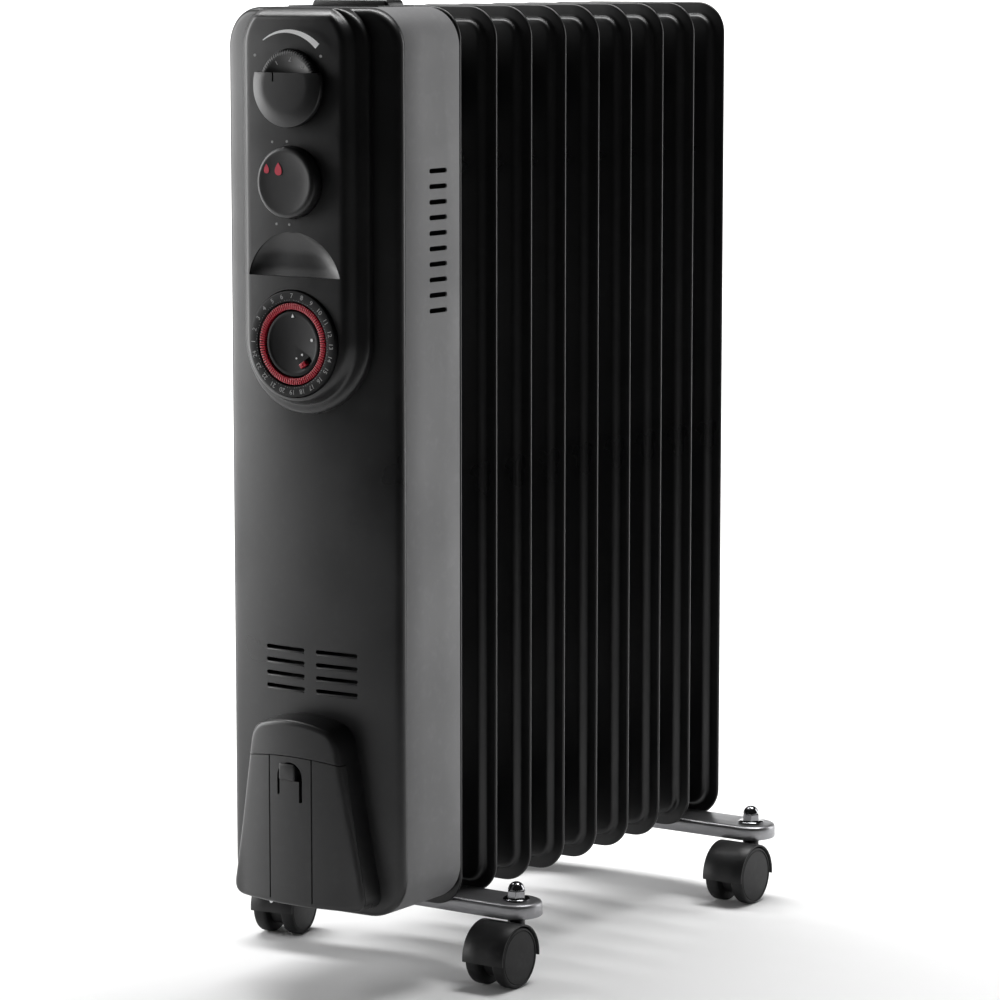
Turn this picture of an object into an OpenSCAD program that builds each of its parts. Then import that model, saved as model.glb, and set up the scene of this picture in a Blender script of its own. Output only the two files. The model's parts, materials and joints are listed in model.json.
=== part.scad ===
// Oil filled radiator heater: pressed steel fins, control housing and castored feet.
// Millimetres. Front towards -Y, +X to the right, +Z up, floor at Z = 0.

/* [Fins] */
// Width of a fin, side to side
fin_width = 130; // [126:1:132]
// Height of a fin, bottom to top
fin_height = 580; // [576:1:600]
// Spacing of the fins, middle to middle
fin_pitch = 40.5; // [40:0.5:42]
// Corner radius of a fin
fin_corner = 21; // [19:1:23]
// Thickness of a fin across its raised oil channels
channel_thickness = 11; // [10:0.5:12]

/* [Housing] */
// Width of the control housing, side to side
housing_width = 134; // [133:1:137]
// Depth of the sheet steel sleeve, front to back
sleeve_depth = 60; // [59:1:63]
// Corner radius of the housing outline
housing_corner = 25; // [23:1:27]
// Length of one cooling slot in the sleeve
sleeve_slot_length = 19; // [12:1:22]
// Height of one cooling slot in the sleeve
sleeve_slot_height = 3; // [2:0.5:4]

/* [Controls] */
// Diameter of the thermostat dial
dial_diameter = 44.6; // [42:0.2:45]
// Diameter of the power selector knob
knob_diameter = 44.6; // [40:0.2:45]
// Outer diameter of the timer ring
timer_diameter = 67.2; // [64:0.2:67.4]

/* [Feet] */
// Distance of a castor stem from the middle of its bracket
castor_reach = 99; // [96:1:104]
// How far each foot bracket's bolt holes lie from its middle
bracket_offset = 5; // [0:1:8]
// Diameter of a castor wheel
wheel_diameter = 40; // [38:0.5:40.5]
// Width of a foot bracket, front to back
bracket_width = 34; // [30:1:35]

/* [Hidden] */
$fn = 48;

fin_count = 9;
fin_rim = 2.4;
fin_inset = 9;
sheet = 1;
web_width = 24;
web_corner = 11;
web_margin = 90;
hub_inset = 48;
hub_radius = 26;
hub_bore = 20;

fin_base = 48;
fin_top = fin_base + fin_height;
lower_hub = fin_base + hub_inset;
upper_hub = fin_top - hub_inset;

knob_reach = 35;
front_reach = 4 + sleeve_depth + knob_reach;
plug_reach = 6.5;
plug_thread = 6;
plug_washer = 2;
rear_reach = (fin_count - 1) * fin_pitch + channel_thickness / 2 + plug_reach;
first_fin = (front_reach - rear_reach) / 2;
last_fin = first_fin + (fin_count - 1) * fin_pitch;

sleeve_back = first_fin - 4;
sleeve_front = sleeve_back - sleeve_depth;
sleeve_base = fin_base + 5;
sleeve_height = fin_top - sleeve_base;
sleeve_wall = 1.2;
sleeve_slot_count = 10;
sleeve_slot_pitch = 9.75;
sleeve_slot_top = fin_top - 100;
sleeve_slot_back = sleeve_back - 14.5;

shell_front = sleeve_front - 5;
shell_wall = 2.5;
shell_edge = 4.5;

collar_front = first_fin - 7.5;
plate_thickness = 1.2;
plate_front = collar_front - plate_thickness;
screw_radius = 3;
screw_end = first_fin - 6;

tier_low_front = sleeve_front - 18;
tier_high_front = sleeve_front - 27;
shield_front = sleeve_front - 31.5;
panel_wall = 2.5;
tier_low_half = 48.5;
tier_high_half = 39.5;
panel_end = fin_top - 206;
top_round = 18;

timer_height = fin_top - 209;
timer_hole = 34.2;
knob_height = fin_top - 108;
dial_height = fin_top - 48;
well_radius = 23;
knob_back = tier_high_front + 1.4;
spindle_radius = 3;
spindle_length = 12.6;
spindle_hole = 3.08;

scoop_base = fin_top - 167;
scoop_radius = 36.5;
scoop_half = 35.5;
scoop_rise = 28;
scoop_depth = 12;

louvre_count = 4;
louvre_pitch = 8.4;
louvre_height = 3;
louvre_top = fin_top - 405;
louvre_gap = 4.4;
louvre_length = 31.6;

store_base = fin_base + 12;
store_seam = fin_base + 105;
store_top = fin_base + 133;
store_half_base = 51;
store_half_seam = 37;
store_half_top = 33;
store_front = sleeve_front - 30;
store_wall = 2.5;
door_gap = 0.5;
door_hinge_y = store_front + 6.5;
door_hinge_z = store_base + 4.5;
door_sweep = 8.4;
door_lobe = 3.5;
lobe_middle = store_half_base - 1.5;
door_pin = 2;
door_pin_hole = 2.08;
latch_half = 8;
latch_base = fin_base + 80;
latch_top = fin_base + 103;
bin_half = 32;
bin_base = fin_base + 16;
bin_top = fin_base + 102;
bin_front = shell_front + shell_wall;
bin_back = sleeve_front + 24;
bin_wall = 2;
gland_x = 20;
gland_y = sleeve_back - 20.5;
gland_radius = 8;
gland_neck = 6;
gland_bore = 4;
gland_drop = 4;
gland_rise = 6;

grip_half = 30;
grip_back = sleeve_back - 5;
grip_front = grip_back - 21;
grip_top = fin_top + 4.5;
grip_base = fin_top - 6;
grip_step = 2;
tray_half = 33;
tray_front = grip_front - 15;
tray_back = plate_front;
tray_depth = 22;
tray_wall = 2;

bracket_top = fin_base + 5;
bracket_wall = 1.6;
bracket_drop = 9.5;
front_bracket = first_fin + fin_pitch / 2;
rear_bracket = last_fin - fin_pitch / 2;
function bracket_middle(y) = y < 0 ? -bracket_offset : bracket_offset;
function stem_at(side, y) = bracket_middle(y) + side * castor_reach;
bolt_radius = 3;
bolt_reach = hub_radius + bolt_radius + 0.5;

wheel_radius = wheel_diameter / 2;
wheel_inner = 5.5;
wheel_outer = 15;
axle_radius = 2.5;
axle_bore = 2.56;
axle_inset = 1.8;
wheel_cap = 1.5;
wheel_dish = 4;
hood_radius = 22;
hood_half = 15.6;
hood_inner = 20.6;
hood_web = 4.9;
hood_skirt = 2;
trail = 18;
left_turn = 190;
stem_radius = 3.5;
stem_bore = 3.57;
collar_radius = 5;
boss_radius = 5.6;
boss_top = 41.5;

black_steel = "#1b1b1d";
grey_steel = "#4a4a4d";
dark_plastic = "#2b2b2e";
zinc = "#9a9b9e";
red_plastic = "#a3202c";
cream_plastic = "#d8d4c6";
brass_metal = "#b08d3c";

// Middle plane of a fin, counted from one at the front
function fin_y(index) = first_fin + (index - 1) * fin_pitch;

// Box between two opposite corners
module block(low, high) {
    translate(low)
        cube([high[0] - low[0], high[1] - low[1], high[2] - low[2]]);
}

// Round bar along X
module rod_x(radius, left, right, y, z) {
    translate([left, y, z])
        rotate([0, 90, 0])
            cylinder(r = radius, h = right - left);
}

// Round bar along Y
module rod_y(radius, front, back, x, z) {
    translate([x, back, z])
        rotate([90, 0, 0])
            cylinder(r = radius, h = back - front);
}

// Round bar along Z
module rod_z(radius, low, high, x, y) {
    translate([x, y, low])
        cylinder(r = radius, h = high - low);
}

// Rounded rectangle standing on the X axis
module outline(width, height, corner) {
    translate([corner - width / 2, 0])
        square([width - 2 * corner, height]);
    translate([-width / 2, corner])
        square([width, height - 2 * corner]);
    for (side = [-1, 1], y = [corner, height - corner])
        translate([side * (width / 2 - corner), y])
            circle(r = corner);
}

// Plane shape stood upright and given depth from front to back
module upright(front, back) {
    translate([0, back, 0])
        rotate([90, 0, 0])
            linear_extrude(height = back - front)
                children();
}

// Rounded upright plate
module slab(width, height, corner, front, back, base) {
    translate([0, 0, base])
        upright(front, back)
            outline(width, height, corner);
}

// Pressed fin with raised oil columns, hollow inside
module fin(index) {
    y = fin_y(index);
    half = channel_thickness / 2;
    raised_width = fin_width - 2 * fin_inset;
    raised_height = fin_height - 2 * fin_inset;
    raised_corner = fin_corner - fin_inset / 2;
    web_height = fin_height - 2 * web_margin;
    is_first = index == 1;
    is_last = index == fin_count;
    color(black_steel)
        difference() {
            union() {
                slab(fin_width, fin_height, fin_corner, y - fin_rim / 2, y + fin_rim / 2, fin_base);
                slab(raised_width, raised_height, raised_corner, y - half, y + half,
                    fin_base + fin_inset);
                if (is_first)
                    for (z = [lower_hub, upper_hub])
                        rod_y(hub_radius, collar_front, y, 0, z);
            }
            for (side = [-1, 1])
                slab(web_width, web_height, web_corner,
                    y + side * (half + fin_rim / 2) / 2 - (half - fin_rim / 2) / 2 - (side < 0 ? 1 : 0),
                    y + side * (half + fin_rim / 2) / 2 + (half - fin_rim / 2) / 2 + (side > 0 ? 1 : 0),
                    fin_base + web_margin);
            difference() {
                slab(raised_width - 2 * sheet, raised_height - 2 * sheet, raised_corner - sheet,
                    y - half + sheet, y + half - sheet, fin_base + fin_inset + sheet);
                slab(web_width + 2 * sheet, web_height + 2 * sheet, web_corner + sheet,
                    y - half, y + half, fin_base + web_margin - sheet);
            }
            rod_y(hub_bore, is_first ? y : y - half - 1, is_last ? y : y + half + 1, 0, upper_hub);
            rod_y(hub_bore, is_first ? collar_front - 1 : y - half - 1, is_last ? y : y + half + 1,
                0, lower_hub);
            if (is_first)
                rod_y(screw_radius, collar_front - 1, screw_end, 0, upper_hub);
            if (is_last)
                rod_y(plug_thread, y, y + half + 1, 0, lower_hub);
        }
}

// Welded rings that join the fins into two headers
module header_rings() {
    half = channel_thickness / 2;
    color(black_steel)
        for (index = [1:fin_count - 1], z = [lower_hub, upper_hub])
            difference() {
                rod_y(hub_radius, fin_y(index) + half, fin_y(index + 1) - half, 0, z);
                rod_y(hub_bore, fin_y(index) + half - 1, fin_y(index + 1) - half + 1, 0, z);
            }
}

// Threaded plug that closes the rear of the lower header
module oil_filler_plug() {
    back = last_fin + channel_thickness / 2;
    color(zinc) {
        rod_y(plug_thread, back - 4, back, 0, lower_hub);
        rod_y(11, back, back + plug_washer, 0, lower_hub);
        translate([0, back + plug_reach, lower_hub])
            rotate([90, 0, 0])
                cylinder(r = 9, h = plug_reach - plug_washer, $fn = 6);
    }
}

element_reach = 270;
element_half = 9;
element_radius = 4.2;
element_front = plate_front - 22;

// Sheathed hairpin heater that lies in the oil of the lower header
module heating_element() {
    color(zinc) {
        for (side = [-1, 1]) {
            rod_y(element_radius, element_front, first_fin + element_reach, side * element_half,
                lower_hub);
            rod_y(1.6, element_front - 8, element_front, side * element_half, lower_hub);
        }
        translate([0, first_fin + element_reach, lower_hub])
            rotate_extrude(angle = 180)
                translate([element_half, 0])
                    circle(r = element_radius);
    }
}

// Screwed flange that carries the heater through the mounting plate
module element_flange() {
    color(brass_metal)
        difference() {
            union() {
                rod_y(24, plate_front - 3, plate_front, 0, lower_hub);
                rod_y(hub_bore, plate_front, first_fin - 2, 0, lower_hub);
                translate([0, plate_front - 3, lower_hub])
                    rotate([90, 0, 0])
                        cylinder(r = 20, h = 6, $fn = 6);
            }
            for (side = [-1, 1])
                rod_y(element_radius, element_front, first_fin, side * element_half, lower_hub);
        }
}

// Sheet steel plate that closes the back of the housing
module rear_plate() {
    inner_width = housing_width - 2 * sleeve_wall;
    inner_height = sleeve_height - 2 * sleeve_wall;
    color(grey_steel)
        difference() {
            slab(inner_width, inner_height, housing_corner - sleeve_wall, plate_front, collar_front,
                sleeve_base + sleeve_wall);
            rod_y(hub_bore, plate_front - 1, collar_front + 1, 0, lower_hub);
            rod_y(screw_radius, plate_front - 1, collar_front + 1, 0, upper_hub);
        }
}

// Folded sheet steel sleeve that forms the sides, top and bottom of the housing
module sleeve() {
    color(grey_steel)
        difference() {
            slab(housing_width, sleeve_height, housing_corner, sleeve_front, sleeve_back, sleeve_base);
            slab(housing_width - 2 * sleeve_wall, sleeve_height - 2 * sleeve_wall,
                housing_corner - sleeve_wall, sleeve_front - 1, sleeve_back + 1,
                sleeve_base + sleeve_wall);
            for (i = [0:sleeve_slot_count - 1])
                translate([-housing_width, sleeve_slot_back - sleeve_slot_length,
                    sleeve_slot_top - i * sleeve_slot_pitch - sleeve_slot_height])
                    cube([2 * housing_width, sleeve_slot_length, sleeve_slot_height]);
            block([-tray_half - tray_wall, tray_front - tray_wall, fin_top - 5],
                [tray_half + tray_wall, tray_back, fin_top + 1]);
            rod_z(gland_neck, sleeve_base - 1, sleeve_base + sleeve_wall + 1, gland_x, gland_y);
        }
}

// Prism along X that rounds the upper front edge
module top_limit(front, back, round_radius) {
    union() {
        block([-housing_width, front, fin_base - 20],
            [housing_width, back, fin_top - round_radius]);
        block([-housing_width, front + round_radius, fin_top - round_radius - 1],
            [housing_width, back, fin_top]);
        rod_x(round_radius, -housing_width, housing_width, front + round_radius,
            fin_top - round_radius);
    }
}

// Outline of the two stepped tongues of the control panel
module tongue(half, end, top) {
    translate([-half, end])
        square([2 * half, top - end]);
    translate([0, end])
        circle(r = half);
}

// Raised shield around the thermostat and the selector
module shield_outline() {
    waist = fin_top - 55;
    drop = 75;
    arc_radius = (drop * drop + tier_high_half * tier_high_half) / (2 * tier_high_half);
    translate([-tier_high_half, waist])
        square([2 * tier_high_half, fin_top - waist]);
    intersection() {
        translate([arc_radius - tier_high_half, waist])
            circle(r = arc_radius);
        translate([tier_high_half - arc_radius, waist])
            circle(r = arc_radius);
        translate([-tier_high_half, waist - drop - 1])
            square([2 * tier_high_half, drop + 1]);
    }
}

// Space taken out of the panel for the finger scoop, or its moulded wall when grown
module scoop(grow, front) {
    back = tier_high_front + scoop_depth + grow;
    intersection() {
        rod_y(scoop_radius + grow, front, back, 0, scoop_base + scoop_rise - scoop_radius);
        block([-scoop_half - grow, front, scoop_base - grow],
            [scoop_half + grow, back, scoop_base + scoop_rise + grow]);
    }
}

// Trapezium of the cord store between two heights
module store_outline(inset) {
    slope = (store_half_base - store_half_seam) / (store_seam - store_base);
    polygon([
        [-store_half_base + inset, store_base],
        [store_half_base - inset, store_base],
        [store_half_seam - inset, store_seam],
        [store_half_top - inset, store_top - 10],
        [store_half_top - 10 - slope * inset, store_top - 3 - inset / 2],
        [0, store_top - inset],
        [-store_half_top + 10 + slope * inset, store_top - 3 - inset / 2],
        [-store_half_top + inset, store_top - 10],
        [-store_half_seam + inset, store_seam]]);
}

// Moulded front of the housing with the louvres and the cord store surround
module front_shell() {
    color(dark_plastic)
        difference() {
            union() {
                intersection() {
                    slab(housing_width, sleeve_height, housing_corner, shell_front, sleeve_front,
                        sleeve_base);
                    translate([0, 0, sleeve_base - 1])
                        linear_extrude(height = sleeve_height + 2) {
                            translate([shell_edge - housing_width / 2, shell_front])
                                square([housing_width - 2 * shell_edge, 3 * shell_edge]);
                            translate([-housing_width / 2, shell_front + shell_edge])
                                square([housing_width, 2 * shell_edge]);
                            for (side = [-1, 1])
                                translate([side * (housing_width / 2 - shell_edge),
                                    shell_front + shell_edge])
                                    circle(r = shell_edge);
                        }
                }
                upright(store_front + store_wall + door_gap, shell_front)
                    store_outline(0);
                intersection() {
                    upright(store_front, shell_front)
                        store_outline(0);
                    block([-housing_width, store_front - 1, store_seam],
                        [housing_width, shell_front, store_top + 1]);
                }
            }
            slab(housing_width - 2 * shell_wall, sleeve_height - 2 * shell_wall,
                housing_corner - shell_wall, shell_front + shell_wall, sleeve_front + 1,
                sleeve_base + shell_wall);
            upright(shell_front - 1, shell_front + shell_wall + 1)
                tongue(tier_low_half - 6, panel_end, fin_top - 24);
            for (i = [0:louvre_count - 1], side = [-1, 1])
                translate([side * (louvre_gap + louvre_length / 2) - louvre_length / 2, shell_front - 1,
                    louvre_top - i * louvre_pitch - louvre_height])
                    cube([louvre_length, shell_wall + 2, louvre_height]);
            intersection() {
                upright(store_front + store_wall, shell_front + 1)
                    store_outline(store_wall);
                block([-housing_width, store_front, store_base + store_wall],
                    [housing_width, shell_front + 1, store_top - 5]);
            }
            difference() {
                block([-housing_width / 2, store_front, store_base - 1],
                    [housing_width / 2, door_hinge_y + door_sweep, door_hinge_z]);
                for (side = [-1, 1])
                    rod_x(door_lobe, side * lobe_middle - 2.5, side * lobe_middle + 2.5, door_hinge_y,
                        door_hinge_z);
            }
            rod_x(door_pin_hole, -store_half_base - 1, store_half_base + 1, door_hinge_y,
                door_hinge_z);
            block([-bin_half, shell_front - 1, bin_base], [bin_half, sleeve_front, bin_top]);
        }
}

// Moulded control panel: two tongues, shield, wells for the controls and the scoop
module control_panel() {
    color(dark_plastic)
        difference() {
            union() {
                difference() {
                    intersection() {
                        union() {
                            upright(tier_low_front, shell_front)
                                tongue(tier_low_half, panel_end, fin_top);
                            upright(tier_high_front, tier_low_front)
                                tongue(tier_high_half, panel_end, fin_top);
                            upright(shield_front, tier_high_front)
                                shield_outline();
                        }
                        top_limit(shield_front, shell_front, top_round);
                        slab(2 * tier_low_half, 400, 24, shield_front, shell_front, fin_top - 400);
                    }
                    upright(tier_low_front + panel_wall, shell_front + 1)
                        tongue(tier_low_half - panel_wall, panel_end, fin_top - 20);
                    upright(tier_high_front + panel_wall, tier_low_front + panel_wall + 1)
                        tongue(tier_high_half - panel_wall, panel_end, fin_top - 20);
                }
                rod_y(well_radius + 3, tier_high_front + 1, tier_high_front + 6, 0, dial_height);
                rod_y(well_radius + 3, tier_high_front + 1, tier_high_front + 6, 0, knob_height);
                scoop(panel_wall, tier_high_front + 1);
            }
            rod_y(well_radius, shield_front - 5, tier_high_front + 2, 0, dial_height);
            rod_y(well_radius, shield_front - 5, tier_high_front + 2, 0, knob_height);
            rod_y(spindle_hole, tier_high_front, tier_high_front + 8, 0, dial_height);
            rod_y(spindle_hole, tier_high_front, tier_high_front + 8, 0, knob_height);
            rod_y(timer_hole, tier_high_front - 1, tier_high_front + panel_wall + 1, 0, timer_height);
            scoop(0, shield_front - 5);
        }
}

cover_radius = 26;
cover_chord = dial_height + 8;

// Fixed half-moon cover over the lower part of the thermostat dial
module dial_cover() {
    color(dark_plastic)
        intersection() {
            union() {
                rod_y(cover_radius, shield_front - 1.5, shield_front, 0, dial_height);
                rod_y(cover_radius - 2, shield_front - 3, shield_front - 1.5, 0, dial_height);
            }
            block([-cover_radius - 1, shield_front - 5, dial_height - cover_radius - 1],
                [cover_radius + 1, shield_front + 1, cover_chord]);
        }
}

// Knurled thermostat dial seen through the half-moon window
module thermostat_dial() {
    ridge_count = 36;
    radius = dial_diameter / 2;
    color(dark_plastic)
        difference() {
            union() {
                rod_y(radius, shield_front + 0.7, knob_back, 0, dial_height);
                rod_y(spindle_radius, knob_back, knob_back + spindle_length, 0, dial_height);
            }
            for (i = [0:ridge_count - 1])
                translate([0, 0, dial_height])
                    rotate([0, i * 360 / ridge_count, 0])
                        block([-0.6, shield_front, radius - 1], [0.6, tier_high_front + 2, radius + 1]);
        }
}

// Body behind the panel with a bore that takes a spindle
module control_body(half_width, half_height, depth, height) {
    front = tier_high_front + 6;
    difference() {
        block([-half_width, front, height - half_height],
            [half_width, front + depth, height + half_height]);
        rod_y(spindle_hole, front - 1, front + depth - 4, 0, height);
    }
}

// Room thermostat behind the dial
module thermostat() {
    color(cream_plastic)
        control_body(17, 13, 30, dial_height);
}

// Power selector knob with a stepped face
module selector_knob() {
    radius = knob_diameter / 2;
    color(dark_plastic) {
        rod_y(radius, shield_front - 2.3, knob_back, 0, knob_height);
        rod_y(radius - 1.5, sleeve_front - knob_reach, shield_front - 2.3, 0, knob_height);
        rod_y(spindle_radius, knob_back, knob_back + spindle_length, 0, knob_height);
    }
}

// Rotary power switch behind the selector
module selector_switch() {
    color(cream_plastic)
        control_body(15, 15, 26, knob_height);
}

tappet_count = 48;
tappet_inner = 21.6;
tappet_outer = 26.2;
ring_inner = 26.6;
journal_radius = 20.8;
journal_bore = 20.88;
ring_front = tier_high_front - 1.4;
ring_floor = tier_high_front + 5;
ring_back = ring_floor + 2;
gear_back = ring_back + 5;
gear_module = 1;
ring_teeth = 48;
pinion_teeth = 12;
gear_distance = gear_module * (ring_teeth + pinion_teeth) / 2 + 0.35;

// Outline of a spur gear with narrow straight sided teeth
module gear_outline(teeth, phase) {
    pitch_radius = gear_module * teeth / 2;
    root = pitch_radius - 1.15 * gear_module;
    tip = pitch_radius + 0.8 * gear_module;
    step = 360 / teeth;
    polygon([for (i = [0:teeth - 1], corner = [[-0.27, root], [-0.11, tip], [0.11, tip], [0.27, root]])
        let (angle = (i + corner[0] + phase) * step)
            [corner[1] * sin(angle), corner[1] * cos(angle)]]);
}

// Rotating timer ring with the hour figures and its gear behind
module timer_dial() {
    color(dark_plastic)
        translate([0, 0, timer_height])
            difference() {
                union() {
                    rod_y(timer_diameter / 2, ring_front, ring_back, 0, 0);
                    upright(ring_back, gear_back)
                        gear_outline(ring_teeth, 0);
                }
                rod_y(ring_inner, ring_front - 1, ring_floor, 0, 0);
                rod_y(journal_bore, ring_front - 1, gear_back + 1, 0, 0);
            }
}

// Switching tappets seated in the timer ring
module timer_tappets() {
    color(red_plastic)
        for (i = [0:tappet_count - 1])
            translate([0, 0, timer_height])
                rotate([0, i * 360 / tappet_count, 0])
                    block([-1.15, ring_front + 0.8, tappet_inner], [1.15, ring_floor, tappet_outer]);
}

slide_x = 8.3;
slide_z = -12.5;
slide_turn = -33.6;
slide_travel = 3.6;

// Fixed centre disc and journal of the timer
module timer_centre() {
    color(dark_plastic)
        translate([0, 0, timer_height])
            difference() {
                rod_y(journal_radius, ring_front + 1, gear_back + 0.5, 0, 0);
                translate([slide_x, 0, slide_z])
                    rotate([0, slide_turn, 0])
                        block([-2.9, ring_front, -1.9], [2.9 + slide_travel, ring_front + 4, 1.9]);
            }
}

// Red slider that overrides the timer
module timer_override() {
    color(red_plastic)
        translate([slide_x, 0, timer_height + slide_z])
            rotate([0, slide_turn, 0])
                block([-2.5, ring_front - 0.4, -1.5], [2.5, ring_front + 3.6, 1.5]);
}

// Clock motor behind the timer ring
module timer_motor() {
    front = gear_back + 0.5;
    color(cream_plastic)
        difference() {
            union() {
                block([-26, front, timer_height - 26], [26, front + 16, timer_height + 36]);
                rod_y(18, front + 16, front + 24, 0, timer_height);
            }
            rod_y(1.56, front - 1, front + 8, 0, timer_height + gear_distance);
        }
}

// Motor pinion that drives the timer ring
module timer_pinion() {
    color(cream_plastic)
        translate([0, 0, timer_height + gear_distance]) {
            upright(ring_back + 0.5, gear_back)
                gear_outline(pinion_teeth, 0.5);
            rod_y(1.5, gear_back, gear_back + 7, 0, 0);
        }
}

cutout_x = 34;
safety_height = fin_base + 190;
block_base = fin_base + 225;
block_height = 18;

// Overheat cut-out held on the mounting plate
module thermal_cutout() {
    color(cream_plastic) {
        rod_y(9, plate_front - 6, plate_front, -cutout_x, safety_height);
        rod_y(6, plate_front - 11, plate_front - 6, -cutout_x, safety_height);
    }
}

// Tip-over switch on the mounting plate
module tip_over_switch() {
    color(cream_plastic)
        block([cutout_x - 12, plate_front - 16, safety_height - 40],
            [cutout_x + 12, plate_front, safety_height]);
}

// Terminal block on the mounting plate
module terminal_block() {
    color(cream_plastic)
        block([-22, plate_front - 14, block_base],
            [22, plate_front, block_base + block_height]);
}

wire_radius = 1.3;
wire_lane = 14;

// One bare length of wire between two points
module wire_run(from, to, radius) {
    step = to - from;
    flat = norm([step[0], step[1]]);
    translate(from)
        rotate([0, atan2(flat, step[2]), atan2(step[1], step[0])])
            cylinder(r = radius, h = norm(step));
}

// Insulated wire through a list of points
module wire(points, radius) {
    for (i = [0:len(points) - 2])
        wire_run(points[i], points[i + 1], radius);
    for (i = [1:len(points) - 2])
        translate(points[i])
            sphere(r = radius * 1.12);
}

// Internal wires between the terminal block, the controls and the heater
module wiring() {
    lane = plate_front - 7;
    low = block_base - 2;
    high = block_base + block_height + 2;
    back = element_front - 4;
    tip = lower_hub + 1.8;
    switch_back = tier_high_front + 33;
    color(red_plastic) {
        for (side = [-1, 1])
            wire([[side * wire_lane, lane, low], [side * wire_lane, lane, lower_hub + 40],
                [side * element_half, back, lower_hub + 14], [side * element_half, back, tip]],
                wire_radius);
        wire([[-wire_lane, lane, high], [-wire_lane, lane, knob_height - 20],
            [-10, switch_back, knob_height]], wire_radius);
        wire([[wire_lane, lane, high], [wire_lane, lane, dial_height - 24],
            [10, switch_back + 4, dial_height]], wire_radius);
    }
}

// Gland that the mains cord enters by, in the floor of the housing
module cord_gland() {
    color(black_steel)
        difference() {
            union() {
                rod_z(gland_radius, sleeve_base - gland_drop, sleeve_base, gland_x, gland_y);
                rod_z(gland_neck, sleeve_base, sleeve_base + gland_rise, gland_x, gland_y);
            }
            rod_z(gland_bore, sleeve_base - gland_drop - 1, sleeve_base + gland_rise + 1, gland_x,
                gland_y);
        }
}

// Moulded tub behind the door in which the cord is kept
module cord_bin() {
    color(dark_plastic)
        difference() {
            block([-bin_half - bin_wall, bin_front, bin_base - bin_wall],
                [bin_half + bin_wall, bin_back, bin_top + bin_wall]);
            block([-bin_half, bin_front - 1, bin_base], [bin_half, bin_back - bin_wall, bin_top]);
        }
}

// Door of the cord store, hinged on two pins at its foot
module cord_door() {
    band_half = 16.8;
    pin_outer = store_half_base - 4.4;
    color(dark_plastic)
        difference() {
            union() {
                intersection() {
                    upright(store_front, store_front + store_wall)
                        store_outline(0.4);
                    block([-housing_width, store_front, store_base],
                        [housing_width, store_front + store_wall, store_seam - door_gap]);
                }
                for (side = [-1, 1]) {
                    block([side * (pin_outer - 3) - 2, store_front + store_wall - 0.5,
                        door_hinge_z - 2.6], [side * (pin_outer - 3) + 2, door_hinge_y + 2.6,
                        door_hinge_z + 2.6]);
                    rod_x(door_pin, side > 0 ? pin_outer - 2 : -pin_outer - 3,
                        side > 0 ? pin_outer + 3 : 2 - pin_outer, door_hinge_y, door_hinge_z);
                }
            }
            block([-band_half, store_front - 1, store_base - 1],
                [band_half, store_front + 0.8, store_seam]);
            block([-latch_half - 1, store_front - 1, latch_base],
                [latch_half + 1, store_front + store_wall + 1, store_seam + 1]);
            rod_y(10.8, store_front - 1, store_front + store_wall + 1, 0, store_seam - 8);
        }
}

// Sprung latch tongue in the door
module door_latch() {
    color(dark_plastic) {
        block([-latch_half, store_front + 0.9, latch_base + 0.4],
            [latch_half, store_front + store_wall, latch_top]);
        block([-latch_half + 2, store_front - 1.2, latch_base + 10],
            [latch_half - 2, store_front + 0.9, latch_base + 13]);
    }
}

// Sunken tray in the top of the housing that gives room for the fingers
module handle_tray() {
    floor_z = fin_top - tray_depth;
    color(dark_plastic)
        difference() {
            block([-tray_half - tray_wall, tray_front - tray_wall, floor_z - tray_wall],
                [tray_half + tray_wall, tray_back, fin_top + 0.8]);
            block([-tray_half, tray_front, floor_z], [tray_half, tray_back - tray_wall, fin_top + 1]);
        }
}

// Grip bar across the tray
module carry_handle() {
    shoulder = grip_top - 3;
    back = grip_back - grip_step;
    color(dark_plastic) {
        block([-tray_half, grip_front + 3, grip_base], [tray_half, back, fin_top]);
        block([-grip_half, grip_front, fin_top], [grip_half, back, shoulder]);
        block([grip_step - grip_half, grip_front + grip_step, shoulder],
            [grip_half - grip_step, back - grip_step, grip_top]);
    }
}

// Outline of a foot bracket seen from above
module bracket_outline(half_width) {
    translate([-castor_reach, -half_width])
        square([2 * castor_reach, 2 * half_width]);
    for (side = [-1, 1])
        translate([side * castor_reach, 0])
            circle(r = half_width);
}

// Pressed steel foot brackets, one under each end of the fins
module foot_brackets() {
    half = bracket_width / 2;
    color(zinc)
        for (y = [front_bracket, rear_bracket])
            translate([bracket_middle(y), y, 0])
                difference() {
                    translate([0, 0, bracket_top - bracket_drop])
                        linear_extrude(height = bracket_drop)
                            bracket_outline(half);
                    translate([0, 0, bracket_top - bracket_drop - 1])
                        linear_extrude(height = bracket_drop + 1 - bracket_wall)
                            bracket_outline(half - bracket_wall);
                    for (side = [-1, 1]) {
                        rod_z(stem_radius, bracket_top - 5, bracket_top + 1, side * castor_reach, 0);
                        rod_z(bolt_radius + 0.3, bracket_top - 5, bracket_top + 1,
                            side * bolt_reach - bracket_middle(y), 0);
                    }
                }
}

bolt_end = bracket_top - 12;

// U-bolts over the lower header
module u_bolts() {
    color(zinc)
        for (y = [front_bracket, rear_bracket])
            translate([0, y, 0]) {
                for (side = [-1, 1])
                    rod_z(bolt_radius, bolt_end, lower_hub, side * bolt_reach, 0);
                translate([0, 0, lower_hub])
                    rotate([90, 0, 0])
                        rotate_extrude(angle = 180)
                            translate([bolt_reach, 0])
                                circle(r = bolt_radius);
            }
}

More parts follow.
